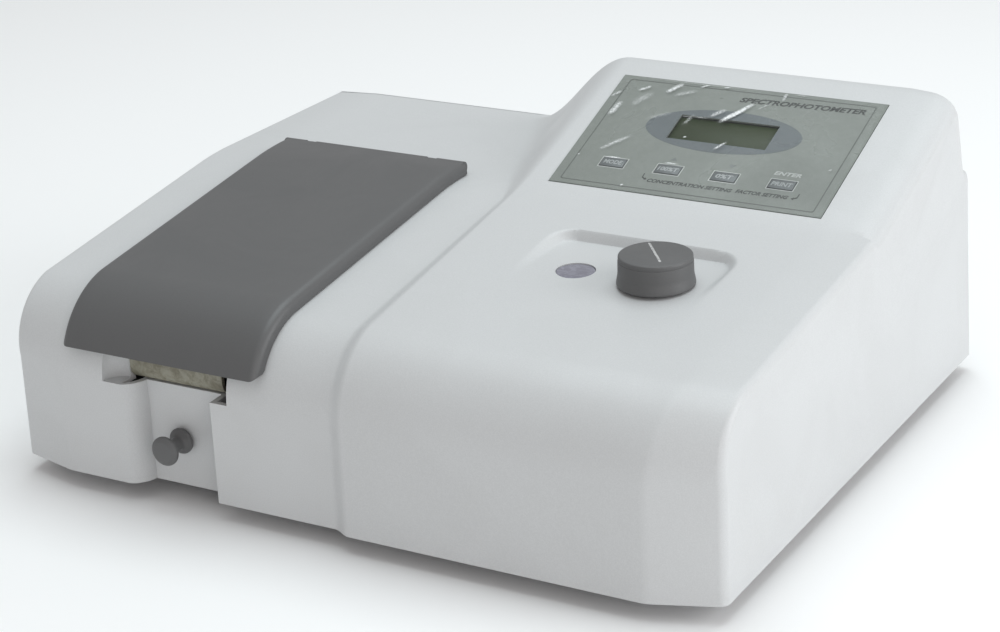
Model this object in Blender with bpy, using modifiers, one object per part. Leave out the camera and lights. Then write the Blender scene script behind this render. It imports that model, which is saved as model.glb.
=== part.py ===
"""Bench spectrophotometer, visible range, built as separate pieces.

Lengths in this file are millimetres and become metres where a mesh is made (MM). Every piece is
placed in the casing's own frame: x from the left side, y from the left half's front face towards
the back, z from the casing's bottom rim. The empty "instrument" carries that frame to the part's
origin, which is the middle of the footprint at the height of the feet's soles.
"""
import math

import bmesh
import bpy
from mathutils import Euler, Matrix, Vector

MM = 0.001
GAP = 0.3

# ---- casing -----------------------------------------------------------------------------------
WIDTH = 440.0
SKIN = 3.0
REAR_Y = 363.0
RIGHT_STEP = 5.0
BROW_R = 44.0
LEFT_SLOPE = 0.118
LEFT_Z60 = 106.0
RIGHT_SLOPE = 0.112
RIGHT_Z60 = 109.8
KINK_L = 205.0
PLATEAU_FALL = 0.012
CONSOLE_DEG = 19.5
CROWN = (339.0, 173.65)
CROWN_R = 9.0
FOOT_OF_CONSOLE_Y = 346.0
SHOULDER_Y = 354.0
SHOULDER_R = 5.0
SIDE_DRAFT = 0.008
FLAT_X = 45.0
BROW_STEPS = 8
FRONT_STATIONS = BROW_STEPS + 3
REAR_STATIONS = 6
RIDGE_STEPS = 10
BASE_Z = (1.5, 3.5)
POST_TOP = 13.7
FOOT_H = 10.0

# ---- display panel, lying on the console slope ---------------------------------------------------
PANEL_X, PANEL_Y, PANEL_Z = 234.0, 214.9, 129.7
PANEL_W, PANEL_H = 169.0, 106.5
KEY_CENTRES = {"key_mode": 31.0, "key_full_scale": 66.2, "key_zero": 101.4, "key_print": 136.6}
KEY_V = 23.3
KEY_W, KEY_H = 15.0, 8.0
LCD_U = (52.0, 114.5)
LCD_V = (53.5, 75.5)

# ---- sample compartment ---------------------------------------------------------------------------
BEAM_Y, BEAM_Z = 104.0, 66.0
CHAMBER_X = (64.0, 154.0)
CHAMBER_Y = (20.0, 188.0)
CHAMBER_WALL = 2.5
MOUTH_X = (68.0, 150.0)
MOUTH_Y = (46.0, 182.0)
CELL_X = 109.0
CELL_SIZE = 12.5
CELL_TALL = 45.0
CELL_PITCH = 20.0
ROD_X, ROD_Z = 111.5, 28.2
PULL_Y, PULL_LENGTH = -8.4, 20.0
RECESS_BACK_Y = 12.0
NOTCH_X = (68.0, 151.5)
NOTCH_Z = (60.0, 84.0)
SHUTTER_PIN_X = 159.5

# ---- lid --------------------------------------------------------------------------------------------
LID_X = (44.0, 174.5)
LID_RISE = 8.0
LID_LIFT = 0.6
LID_LIP_Z = 79.0
HINGE_Y, HINGE_Z = 223.0, 127.0
LID_END_R = 3.9
LUG_XS = (64.0, 150.0)

# ---- wavelength drive --------------------------------------------------------------------------------
KNOB_X, KNOB_Y = 348.0, 122.8
KNOB_R, KNOB_BASE_R, KNOB_TALL = 20.3, 21.2, 16.4
KNOB_FLOOR_Z = 116.0
WINDOW_X, WINDOW_Y, WINDOW_R = 299.0, 124.5, 11.0
ARM_X, ARM_Y = 262.0, 150.0
ARM_LENGTH = 85.0
ARM_PER_KNOB = 0.0533
KNOB_HALF_TURN = 150.0
ROLLER_R = 5.0
CAM_Z = (92.0, 96.0)
BRIDGE_Z = (84.0, 88.0)
OPTICS_Z = (12.0, 18.0)
LAMP_X, LAMP_Y = 220.0, 262.0

# ---- rear panel ---------------------------------------------------------------------------------------
PANEL_BACK_Y = (343.0, 345.0)
FAN_X, FAN_Z = 235.0, 55.0


# ---- helpers ------------------------------------------------------------------------------------------
def clear_scene():
    for obj in list(bpy.data.objects):
        bpy.data.objects.remove(obj, do_unlink=True)


def collection(name):
    group = bpy.data.collections.new(name)
    bpy.context.scene.collection.children.link(group)
    return group


def frame(name, at, rotation=(0.0, 0.0, 0.0), parent=None):
    empty = bpy.data.objects.new(name, None)
    empty.location = Vector(at) * MM
    empty.rotation_euler = rotation
    empty.parent = parent
    PARTS.objects.link(empty)
    return empty


def material(name, colour, roughness, metallic=0.0):
    mat = bpy.data.materials.new(name)
    mat.use_nodes = True
    shader = mat.node_tree.nodes["Principled BSDF"]
    shader.inputs["Base Color"].default_value = (*colour, 1.0)
    shader.inputs["Roughness"].default_value = roughness
    shader.inputs["Metallic"].default_value = metallic
    return mat


def place(name, bm, finish, at=(0.0, 0.0, 0.0), rotation=(0.0, 0.0, 0.0), parent=None, smooth=None):
    """Turn a millimetre bmesh into an object; finish None makes it a hidden cutter."""
    bmesh.ops.recalc_face_normals(bm, faces=bm.faces)
    bmesh.ops.scale(bm, vec=(MM, MM, MM), verts=bm.verts)
    mesh = bpy.data.meshes.new(name)
    bm.to_mesh(mesh)
    bm.free()
    obj = bpy.data.objects.new(name, mesh)
    obj.location = Vector(at) * MM
    obj.rotation_euler = rotation
    obj.parent = parent if parent is not None else ROOT
    if finish is None:
        CUTTERS.objects.link(obj)
        obj.hide_render = True
        obj.display_type = "WIRE"
    else:
        PARTS.objects.link(obj)
        mesh.materials.append(finish)
        if smooth is not None:
            mesh.shade_smooth()
            mesh.set_sharp_from_angle(angle=math.radians(smooth))
    return obj


def round_edges(obj, width, segments=2, angle=40.0):
    bevel = obj.modifiers.new("rounded_edges", "BEVEL")
    bevel.width = width * MM
    bevel.segments = segments
    bevel.limit_method = "ANGLE"
    bevel.angle_limit = math.radians(angle)
    return obj


def combine(obj, other, operation):
    modifier = obj.modifiers.new(other.name, "BOOLEAN")
    modifier.operation = operation
    modifier.object = other
    return obj


def cut(obj, *others):
    for other in others:
        combine(obj, other, "DIFFERENCE")
    return obj


def fuse(obj, *others):
    for other in others:
        combine(obj, other, "UNION")
    return obj


def block(name, low, high, finish, bevel=0.0, parent=None, turn=0.0):
    low, high = Vector(low), Vector(high)
    bm = bmesh.new()
    bmesh.ops.create_cube(bm, size=1.0)
    bmesh.ops.scale(bm, vec=high - low, verts=bm.verts)
    obj = place(name, bm, finish, (low + high) / 2, (0.0, 0.0, turn), parent)
    if bevel:
        round_edges(obj, bevel)
    return obj


AXIS_TURN = {"Z": (0.0, 0.0, 0.0), "X": (0.0, math.pi / 2, 0.0), "Y": (-math.pi / 2, 0.0, 0.0)}


def cylinder(name, start, length, radius, axis, finish, sides=24, parent=None, radius_end=None):
    """A cylinder or cone from start, running along +axis for length."""
    bm = bmesh.new()
    end = radius if radius_end is None else radius_end
    bmesh.ops.create_cone(bm, cap_ends=True, segments=sides, radius1=radius, radius2=end, depth=length)
    bmesh.ops.translate(bm, vec=(0.0, 0.0, length / 2), verts=bm.verts)
    return place(name, bm, finish, start, AXIS_TURN[axis], parent, smooth=35)


def turned(name, profile, at, axis, finish, sides=32, parent=None):
    """A turned piece: profile of (radius, height), run from the top centre down the outside."""
    bm = bmesh.new()
    points = [bm.verts.new((radius, 0.0, height)) for radius, height in profile]
    for first, second in zip(points, points[1:]):
        bm.edges.new((first, second))
    obj = place(name, bm, finish, at, AXIS_TURN[axis], parent)
    screw = obj.modifiers.new("turned", "SCREW")
    screw.angle = math.tau
    screw.steps = sides
    screw.render_steps = sides
    screw.use_merge_vertices = True
    screw.merge_threshold = 0.00001
    screw.use_smooth_shade = False
    return obj


def prism(name, outline, low, high, along, finish, parent=None, bevel=0.0):
    """A flat outline pushed along an axis: along Z the outline is (x, y), X (y, z), Y (x, z)."""
    lift = {"Z": lambda p, h: (p[0], p[1], h), "X": lambda p, h: (h, p[0], p[1]),
            "Y": lambda p, h: (p[0], h, p[1])}[along]
    bm = bmesh.new()
    face = bm.faces.new([bm.verts.new(lift(point, low)) for point in outline])
    pushed = bmesh.ops.extrude_face_region(bm, geom=[face])
    top = [item for item in pushed["geom"] if isinstance(item, bmesh.types.BMVert)]
    bmesh.ops.translate(bm, vec=lift((0.0, 0.0), high - low), verts=top)
    obj = place(name, bm, finish, parent=parent)
    if bevel:
        round_edges(obj, bevel)
    return obj


def rounded_rectangle(x0, x1, y0, y1, radius, steps=4):
    corners = ((x1 - radius, y1 - radius, 0), (x0 + radius, y1 - radius, 1),
               (x0 + radius, y0 + radius, 2), (x1 - radius, y0 + radius, 3))
    points = []
    for cx, cy, quarter in corners:
        for step in range(steps + 1):
            angle = math.pi / 2 * (quarter + step / steps)
            points.append((cx + radius * math.cos(angle), cy + radius * math.sin(angle)))
    return points


def blend(low, high, amount):
    return low + (high - low) * min(1.0, max(0.0, amount))


# ---- the casing's sections --------------------------------------------------------------------------
def console_z(y):
    return PANEL_Z + (y - PANEL_Y) * math.tan(math.radians(CONSOLE_DEG))


def left_slope_z(y):
    return LEFT_Z60 + (y - 60.0) * LEFT_SLOPE


def right_slope_z(y):
    return RIGHT_Z60 + (y - 60.0) * RIGHT_SLOPE


def plateau_z(y):
    return left_slope_z(KINK_L) - (y - KINK_L) * PLATEAU_FALL


def arc(cy, cz, radius, from_deg, to_deg, steps):
    """Points on an arc; 0 degrees looks forwards (-y) and 90 degrees looks up."""
    points = []
    for step in range(steps + 1):
        angle = math.radians(blend(from_deg, to_deg, step / steps))
        points.append((cy - radius * math.cos(angle), cz + radius * math.sin(angle)))
    return points


def brow(front_y, slope, line, steps=8, grow=0.0, start_deg=0.0):
    """The round-over between the front face and the sloping top."""
    tilt = math.degrees(math.atan(slope))
    centre_y = front_y + BROW_R
    centre_z = line(centre_y) - BROW_R / math.cos(math.radians(tilt))
    return arc(centre_y, centre_z, BROW_R + grow, start_deg, 90.0 - tilt, steps)


def soft_corner(before, corner, after, reach, steps=3):
    """A quadratic bend that replaces a corner of the section."""
    corner = Vector(corner)
    start = corner + (Vector(before) - corner).normalized() * reach
    end = corner + (Vector(after) - corner).normalized() * reach
    points = []
    for step in range(steps + 1):
        t = step / steps
        points.append(tuple(start * (1 - t) ** 2 + corner * (2 * t * (1 - t)) + end * t ** 2))
    return points


def facing_in(start, end):
    """Unit normal into the body for a stretch of section that runs from start to end."""
    along = (Vector(end) - Vector(start)).normalized()
    return Vector((along.y, -along.x))


def mitre(first, second):
    """The move that takes a corner one unit in from both of its neighbouring faces."""
    return (first + second) / (1.0 + first.dot(second))


def right_section():
    """Front rim, up, over the brow, along the slope, up the console, down to the rear rim.

    Every station is a point and the direction in which the section shrinks there.
    """
    tan_console = math.tan(math.radians(CONSOLE_DEG))
    kink_y = (PANEL_Z - PANEL_Y * tan_console - RIGHT_Z60 + 60.0 * RIGHT_SLOPE) / (RIGHT_SLOPE - tan_console)
    near = (60.0, right_slope_z(60.0))
    kink = (kink_y, console_z(kink_y))
    foot = (FOOT_OF_CONSOLE_Y, plateau_z(FOOT_OF_CONSOLE_Y))
    shoulder = (SHOULDER_Y, plateau_z(SHOULDER_Y))
    rim = (REAR_Y, 0.0)
    on_slope, on_console = facing_in(near, kink), facing_in(kink, CROWN)
    on_wall, on_ledge, on_rear = facing_in(CROWN, foot), facing_in(foot, shoulder), facing_in(shoulder, rim)
    stations = front_stations(-RIGHT_STEP, RIGHT_SLOPE, right_slope_z)
    stations += with_move(soft_corner(near, kink, CROWN, 14.0), mitre(on_slope, on_console))
    along = [blend(kink_y, CROWN[0], share) for share in (0.37, 0.65)]
    stations += with_move([(y, console_z(y)) for y in along], on_console)
    stations += with_move(soft_corner(kink, CROWN, foot, CROWN_R * 1.3, steps=5), mitre(on_console, on_wall))
    stations += with_move(soft_corner(CROWN, foot, shoulder, 4.0, steps=2), mitre(on_wall, on_ledge))
    stations += with_move(soft_corner(foot, shoulder, rim, SHOULDER_R), mitre(on_ledge, on_rear))
    return stations + with_move([(blend(SHOULDER_Y, REAR_Y, 0.5), 60.0), rim], on_rear)


def with_move(points, move):
    return [(Vector(point), move) for point in points]


def front_stations(front_y, slope, line):
    """The upright front, the brow and the first part of the slope."""
    stations = with_move([(front_y, 0.0), (front_y, 30.0)], Vector((1.0, 0.0)))
    arc_points = brow(front_y, slope, line, BROW_STEPS)
    centre = Vector((front_y + BROW_R, line(front_y + BROW_R) - BROW_R * math.hypot(1.0, slope)))
    stations += [(Vector(point), (centre - Vector(point)).normalized()) for point in arc_points]
    return stations + with_move([(105.0, line(105.0))], stations[-1][1])


def left_section(right):
    """The same stations on the low half, which stays level where the console rises."""
    kink = (KINK_L, left_slope_z(KINK_L))
    shoulder = (SHOULDER_Y, plateau_z(SHOULDER_Y))
    stations = front_stations(0.0, LEFT_SLOPE, left_slope_z)
    on_plateau = facing_in(kink, shoulder)
    bend = soft_corner((60.0, left_slope_z(60.0)), kink, shoulder, 14.0)
    stations += with_move(bend, mitre(stations[-1][1], on_plateau))
    for point, move in right[len(stations):len(right) - REAR_STATIONS]:
        stations.append((Vector((point.x, plateau_z(point.x))), on_plateau))
    return stations + right[len(stations):]


def ridge_span(y):
    """Where the step between the two halves starts and ends at this depth."""
    front = y / 196.0
    back = (y - 196.0) / (CROWN[0] - 196.0)
    start = blend(215.5, 213.0, front) + blend(0.0, -59.0, back)
    end = blend(228.0, 220.0, front) + blend(0.0, 9.0, back)
    return start, end


def casing_body(name, inset, finish):
    """The casing's outside as a closed loft of sections across its width; inset makes the hollow."""
    right = right_section()
    left = left_section(right)
    last = len(right) - 1
    front_share = [1.0, 1.0] + [1.0 - step / BROW_STEPS for step in range(BROW_STEPS + 1)]
    front_share += [0.0] * (len(right) - FRONT_STATIONS)
    bm = bmesh.new()
    rows = []

    def add_row(xs, share, drops):
        row = []
        for index, x in enumerate(xs):
            start, end = left[index], right[index]
            point = start[0].lerp(end[0], share) + start[1].lerp(end[1], share) * (inset + drops[index])
            z = (0.0 if inset == 0 else -6.0) if index in (0, last) else point.y
            lean = SIDE_DRAFT * max(z, 0.0)
            x += lean * max(0.0, 1 - x / FLAT_X) - lean * max(0.0, 1 - (WIDTH - x) / FLAT_X)
            row.append(bm.verts.new((x, point.x, z)))
        rows.append(row)

    def edge_rows(side):
        """Rounded side edge, then the shallow side facet, as far as the flat middle."""
        section = right if side > 0 else left
        raised = [side > 0 and z.y > plateau_z(KINK_L) + 4.0 for z, move in section]
        reach_x = [18.0 if up else 4.0 for up in raised]
        reach_z = [8.0 if up else 4.0 for up in raised]
        crease = [blend(30.0, 38.0, share) for share in front_share]
        front_depth = 14.0 if side > 0 else 9.5
        depth = [blend(1.5, front_depth, share) for share in front_share]
        plans = []
        for part in (0.0, 0.06, 0.25, 0.55, 1.0):
            round_share = 1 - math.sqrt(1 - (1 - part) ** 2)
            reach = [part * rx for rx in reach_x]
            drop = [rz * round_share + deep * (1 - r / edge)
                    for rz, deep, r, edge in zip(reach_z, depth, reach, crease)]
            plans.append((reach, drop))
        flat = [0.0] * len(section)
        plans += [(crease, flat), ([FLAT_X - inset] * len(section), flat)]
        for reach, drop in plans if side < 0 else reversed(plans):
            xs = [r + inset if side < 0 else WIDTH - r - inset for r in reach]
            add_row(xs, 1.0 if side > 0 else 0.0, drop)

    edge_rows(-1)
    spans = [ridge_span(point.x) for point, move in right]
    for step in range(RIDGE_STEPS + 1):
        t = step / RIDGE_STEPS
        add_row([blend(low, high, t) for low, high in spans], 0.5 - 0.5 * math.cos(math.pi * t),
                [0.0] * len(right))
    edge_rows(1)
    for first, second in zip(rows, rows[1:]):
        for index in range(last):
            bm.faces.new((first[index], first[index + 1], second[index + 1], second[index]))
        bm.faces.new((first[0], second[0], second[-1], first[-1]))
    bm.faces.new(rows[0])
    bm.faces.new(list(reversed(rows[-1])))
    return place(name, bm, finish, smooth=30)


def recess_outline(grow):
    """Plan of the front recess: hollow left wall, straight back and right walls."""
    back = RECESS_BACK_Y + grow
    left = [(80.0 - grow, -20.0), (80.0 - grow, 1.0), (82.0 - grow, 6.5), (85.0 - grow, 10.5)]
    return left + [(90.0 - grow, back), (139.0 + grow, back), (141.0 + grow, -20.0)]


def knob_bay_outline(grow):
    """Plan of the flat bay that holds the wavelength knob and window."""
    return rounded_rectangle(265.0 - grow, 380.0 + grow, 80.0, 168.0 + grow, 17.0, steps=4)


def make_casing():
    shell = casing_body("upper_casing", 0.0, WHITE)
    hollow = casing_body("cut_hollow", SKIN, None)
    cut(hollow, prism("cut_recess_wall", recess_outline(SKIN), -20.0, NOTCH_Z[0], "Z", None))
    bay_floor = KNOB_FLOOR_Z - SKIN
    cut(hollow, prism("cut_bay_wall", knob_bay_outline(SKIN), bay_floor, 150.0, "Z", None))
    cut(shell, prism("cut_recess", recess_outline(0.0), -20.0, NOTCH_Z[0], "Z", None))
    cut(shell, prism("cut_knob_bay", knob_bay_outline(0.0), KNOB_FLOOR_Z, 150.0, "Z", None))
    cut(shell, hollow)
    openings = [
        block("cut_notch", (NOTCH_X[0], -20.0, NOTCH_Z[0]), (NOTCH_X[1], 16.0, NOTCH_Z[1]), None),
        block("cut_mouth", (MOUTH_X[0], MOUTH_Y[0], 90.0), (MOUTH_X[1], MOUTH_Y[1], 150.0), None),
        cylinder("cut_rod_hole", (ROD_X, 5.0, ROD_Z), 15.0, 5.1, "Y", None, 20),
        cylinder("cut_shaft_hole", (KNOB_X, KNOB_Y, 100.0), 20.0, 6.0, "Z", None, 20),
        cylinder("cut_window_hole", (WINDOW_X, WINDOW_Y, 100.0), 20.0, WINDOW_R - 1.5, "Z", None, 28),
        cylinder("cut_window_seat", (WINDOW_X, WINDOW_Y, KNOB_FLOOR_Z - 1.8), 5.0, WINDOW_R, "Z", None, 28),
        cylinder("cut_shutter_hole", (SHUTTER_PIN_X, BEAM_Y, 95.0), 30.0, 2.8, "Z", None, 12),
        block("cut_rear_opening", (198.0, 346.0, 12.0), (422.0, 380.0, 96.0), None),
    ]
    for x in LUG_XS:
        openings.append(block("cut_lug_slot", (x - 3.7, HINGE_Y - 5.0, 110.0),
                              (x + 3.7, HINGE_Y + 5.0, 135.0), None))
    cut(shell, *openings)
    cut(shell, block("cut_panel_pocket", (-GAP, -GAP, -0.8), (PANEL_W + GAP, PANEL_H + GAP, 8.0), None,
                     parent=PANEL_FRAME))
    cut(shell, block("cut_panel_opening", (12.0, 12.0, -20.0), (157.0, 88.0, 8.0), None, parent=PANEL_FRAME))
    return shell


# ---- base, feet and rear panel -------------------------------------------------------------------------
def make_base():
    outline = [(5.5, 18.0), (42.0, 5.5), (73.0, 5.5), (73.0, 19.0), (147.0, 19.0), (147.0, 5.5), (220.0, 5.5),
               (232.0, 0.5), (399.0, 0.5), (433.0, 14.0), (433.0, 352.0), (5.5, 352.0)]
    plate = prism("base_plate", outline, BASE_Z[0], BASE_Z[1], "Z", STEEL)
    for x in (26.0, 140.0):
        for y in (220.0, 326.0):
            fuse(plate, cylinder("post", (x, y, BASE_Z[0] + 0.5), POST_TOP - BASE_Z[0] - 0.5, 3.5, "Z", None, 12))
    for row in range(5):
        x = 185.0 + 14.0 * row
        cut(plate, block("cut_air_slot", (x, 235.0, -2.0), (x + 5.0, 295.0, 6.0), None))
    return plate


def make_feet():
    sole = -FOOT_H
    top = BASE_Z[0] - GAP
    profile = [(0.0, top), (11.0, top), (12.0, -3.0), (11.0, sole + 1.0), (10.0, sole), (0.0, sole)]
    for side, x in (("left", 48.0), ("right", WIDTH - 48.0)):
        for end, y in (("front", 45.0), ("rear", 320.0)):
            turned(f"foot_{end}_{side}", profile, (x, y, 0.0), "Z", RUBBER, 20)


def make_rear_panel():
    front, back = PANEL_BACK_Y
    panel = block("rear_panel", (192.0, front, 3.8), (429.0, back, 100.0), GREY_STEEL)
    holes = [
        cylinder("cut_fan_hole", (FAN_X, front - 5, FAN_Z), 12.0, 26.0, "Y", None, 28),
        block("cut_inlet_hole", (387.0, front - 5, 21.0), (415.0, back + 5, 65.0), None),
        block("cut_switch_hole", (341.4, front - 5, 33.4), (356.6, back + 5, 56.6), None),
        block("cut_port_hole", (290.0, front - 5, 38.0), (310.0, back + 5, 48.0), None),
    ]
    for index in range(6):
        x = 285.0 + 11.0 * index
        holes.append(block("cut_vent", (x, front - 5, 66.0), (x + 4.0, back + 5, 92.0), None))
    cut(panel, *holes)


# ---- sample compartment --------------------------------------------------------------------------------
def chamber_outline(wall):
    front, back = CHAMBER_Y[0] + wall, CHAMBER_Y[1] - wall
    floor = 4.2 + wall * 1.2
    over = 30.0 if wall else 0.0
    drop = SKIN + 1.0
    return [(front, floor), (back, floor), (back, left_slope_z(back) - drop + over),
            (45.0, left_slope_z(45.0) - drop + over), (front, 91.0 + over)]


def make_chamber():
    chamber = prism("sample_chamber", chamber_outline(0.0), CHAMBER_X[0], CHAMBER_X[1], "X", BLACK)
    inner_x = CHAMBER_X[0] + CHAMBER_WALL, CHAMBER_X[1] - CHAMBER_WALL
    cut(chamber, prism("cut_chamber", chamber_outline(CHAMBER_WALL), inner_x[0], inner_x[1], "X", None))
    cut(chamber, cylinder("cut_beam", (CHAMBER_X[0] - 5, BEAM_Y, BEAM_Z), 110.0, 7.0, "X", None, 20))
    cut(chamber, cylinder("cut_front_bush", (ROD_X, 15.0, ROD_Z), 12.0, 5.1, "Y", None, 20))
    front = 9.0
    sill = [(front, 66.0), (19.6, 66.0), (19.6, 67.6), (front + 1.6, 67.6), (front + 1.6, 80.0), (front, 80.0)]
    prism("chamber_sill", sill, 76.0, 152.5, "X", BEIGE)


def make_carriage():
    low, high = BEAM_Y - 16.0, BEAM_Y + 3 * CELL_PITCH + 16.0
    carriage = block("cell_carriage", (89.0, low, 22.0), (129.0, high, 40.0), BLACK)
    holder = block("holder", (98.0, low + 3, 38.0), (120.0, high - 3, 80.0), None)
    half = CELL_SIZE / 2 + 0.35
    fuse(carriage, holder)
    for index in range(4):
        y = BEAM_Y + CELL_PITCH * index
        cut(carriage, block("cut_well", (CELL_X - half, y - half, 46.0), (CELL_X + half, y + half, 90.0), None))
        cut(carriage, block("cut_light_slot", (80.0, y - 4.0, 54.0), (140.0, y + 4.0, 76.0), None))
    cut(carriage, block("cut_groove", (93.6, low - 5, 15.0), (103.4, high + 5, 35.0), None))
    cut(carriage, cylinder("cut_rod_socket", (ROD_X, low - 2, ROD_Z), 14.0, 3.35, "Y", None, 20))
    rail = [(84.0, 7.6), (118.0, 7.6), (118.0, 10.0), (103.0, 10.0), (103.0, 34.7), (94.0, 34.7),
            (94.0, 10.0), (84.0, 10.0)]
    prism("carriage_rail", rail, 23.0, 185.0, "Y", ALUMINIUM)
    for index in range(4):
        make_cell(index + 1, BEAM_Y + CELL_PITCH * index)


def make_cell(number, y):
    half = CELL_SIZE / 2
    low = 46.3
    cell = block(f"cuvette_{number}", (CELL_X - half, y - half, low),
                 (CELL_X + half, y + half, low + CELL_TALL), GLASS)
    inner = half - 1.25
    cut(cell, block("cut_cell", (CELL_X - inner, y - inner, low + 1.5),
                    (CELL_X + inner, y + inner, low + CELL_TALL + 5), None))


def make_pull_rod():
    start, end = PULL_Y + 6.5, BEAM_Y - 5.0
    cylinder("pull_rod", (ROD_X, start, ROD_Z), end - start, 3.0, "Y", CHROME, 20)
    bush = [(4.7, 11.7), (4.7, 0.0), (3.15, 0.0), (3.15, 11.7), (4.7, 11.7)]
    turned("rod_bush", bush, (ROD_X, RECESS_BACK_Y + 0.2, ROD_Z), "Y", BRASS, 20)
    front, rear = 8.5, 7.5
    profile = [(0.0, 0.0), (3.0, 0.2), (6.2, 1.0), (front, 2.9), (front - 0.4, 4.2), (5.5, 5.2), (3.8, 6.6),
               (3.8, 14.6), (5.2, 15.6), (rear, 16.8), (rear, 18.2), (5.6, 19.6), (3.35, PULL_LENGTH), (3.35, 6.0),
               (0.0, 6.0)]
    turned("pull_knob", [(radius, -height) for radius, height in profile], (ROD_X, PULL_Y, ROD_Z), "Y",
           DARK_GREY, 28).rotation_euler = (math.pi / 2, 0.0, 0.0)


def make_shutter():
    blade = block("shutter", (156.4, BEAM_Y - 12, 14.0), (158.0, BEAM_Y + 12, 57.0), BLACK)
    top = left_slope_z(BEAM_Y) + 2.0
    fuse(blade, cylinder("pusher", (SHUTTER_PIN_X, BEAM_Y, 30.0), top - 30.0, 2.2, "Z", None, 12))
    return blade


# ---- lid --------------------------------------------------------------------------------------------------
def lid_skin(grow, lip_z, end_y):
    """The casing's left section, lifted by grow, from the lip to end_y."""
    rise = left_slope_z(BROW_R) - BROW_R * math.hypot(1.0, LEFT_SLOPE)
    start = math.degrees(math.asin((lip_z - rise) / (BROW_R + grow)))
    points = [Vector(point) for point in brow(0.0, LEFT_SLOPE, left_slope_z, 9, grow, start)]
    kink = (KINK_L, left_slope_z(KINK_L))
    bend = [Vector(p) for p in soft_corner((60.0, left_slope_z(60.0)), kink,
                                           (SHOULDER_Y, plateau_z(SHOULDER_Y)), 14.0)]
    points += [point + Vector((-0.06, 1.0)) * grow for point in bend if point.x < end_y - 2.0]
    points.append(Vector((end_y, plateau_z(end_y) + grow)))
    return points


def lid_body(name, low_grow, high_grow, x0, x1, lip_z, end_y, finish, edge=0.0):
    """A slab that follows the casing, with its long upper edges rounded by edge."""
    stations = [(x0, edge), (x0 + edge * 0.12, edge * 0.52), (x0 + edge * 0.5, edge * 0.13), (x0 + edge, 0.0)]
    if not edge:
        stations = [(x0, 0.0)]
    stations += [(x0 + x1 - x, drop) for x, drop in reversed(stations)]
    bottom = lid_skin(low_grow, lip_z, end_y)
    bm = bmesh.new()
    rows = []
    for x, drop in stations:
        top = lid_skin(high_grow - drop, lip_z, end_y)
        ring = top + list(reversed(bottom))
        rows.append([bm.verts.new((x, point.x, point.y)) for point in ring])
    for first, second in zip(rows, rows[1:]):
        for index in range(len(first)):
            after = (index + 1) % len(first)
            bm.faces.new((first[index], first[after], second[after], second[index]))
    bm.faces.new(rows[0])
    bm.faces.new(list(reversed(rows[-1])))
    return place(name, bm, finish, smooth=40)


def make_lid():
    x0, x1 = LID_X
    lid = lid_body("sample_lid", LID_LIFT, LID_RISE, x0, x1, LID_LIP_Z, HINGE_Y, DARK_GREY, 3.0)
    fuse(lid, cylinder("lid_end", (x0 + 1.0, HINGE_Y, HINGE_Z), x1 - x0 - 2.0, LID_END_R, "X", None, 20))
    cut(lid, lid_body("cut_lid_hollow", LID_LIFT - 4, LID_RISE - 2.5, x0 + 3, x1 - 3, LID_LIP_Z + 5,
                      HINGE_Y - 9, None))
    cut(lid, cylinder("cut_hinge_bore", (x0 + 6.0, HINGE_Y, HINGE_Z), x1 - x0 - 12.0, 1.8, "X", None, 16))
    for x in LUG_XS:
        cut(lid, block("cut_lug_gap", (x - 3.8, HINGE_Y - 6.0, 115.0), (x + 3.8, HINGE_Y + 6.0, 140.0), None))
    pivot_at(lid, (0.0, HINGE_Y, HINGE_Z))
    cylinder("lid_hinge_pin", (x0 + 8.0, HINGE_Y, HINGE_Z), x1 - x0 - 16.0, 1.5, "X", CHROME, 12)
    for side, x in zip(("left", "right"), LUG_XS):
        make_lid_bracket(side, x)
    make_lid_seal()


def make_lid_bracket(side, x):
    """A lug that rises through the casing beside the lid, on a leaf under the skin."""
    under = plateau_z(HINGE_Y) - SKIN - 0.7
    lug = [(HINGE_Y - 3.4, under - 1.8), (HINGE_Y + 3.4, under - 1.8), (HINGE_Y + 3.4, HINGE_Z)]
    lug += [(HINGE_Y + 3.4 * math.cos(a), HINGE_Z + 3.4 * math.sin(a))
            for a in (math.pi * step / 6 for step in range(1, 6))]
    lug.append((HINGE_Y - 3.4, HINGE_Z))
    bracket = prism(f"lid_bracket_{side}", lug, x - 3.0, x + 3.0, "X", STEEL)
    fuse(bracket, block("leaf", (x - 9.0, HINGE_Y - 11.0, under - 1.8), (x + 9.0, HINGE_Y + 9.0, under), None))
    cut(bracket, cylinder("cut_pin_hole", (x - 5.0, HINGE_Y, HINGE_Z), 10.0, 1.8, "X", None, 16))


def make_lid_seal():
    """A foam frame around the compartment's mouth, on the slope."""
    tilt = math.atan(LEFT_SLOPE)
    length = (MOUTH_Y[1] - MOUTH_Y[0]) / math.cos(tilt)
    middle = (MOUTH_Y[0] + MOUTH_Y[1]) / 2
    centre = frame("seal_frame", (0.0, middle, left_slope_z(middle)), (tilt, 0.0, 0.0), ROOT)
    seal = block("lid_seal", (MOUTH_X[0] - 5.5, -length / 2 - 5.0, GAP),
                 (MOUTH_X[1] + 4.0, length / 2 + 5.0, 5.0), RUBBER, parent=centre)
    cut(seal, block("cut_seal", (MOUTH_X[0] - 0.5, -length / 2, -5.0),
                    (MOUTH_X[1] - 0.5, length / 2, 10.0), None, parent=centre))


def pivot_at(obj, point):
    """Move the object's origin to its joint's axis and leave the shape where it is."""
    shift = Vector(point) * MM - obj.location
    turn = obj.rotation_euler.to_matrix().inverted()
    obj.data.transform(Matrix.Translation(-(turn @ shift)))
    obj.location = obj.location + shift
    return obj


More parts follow.
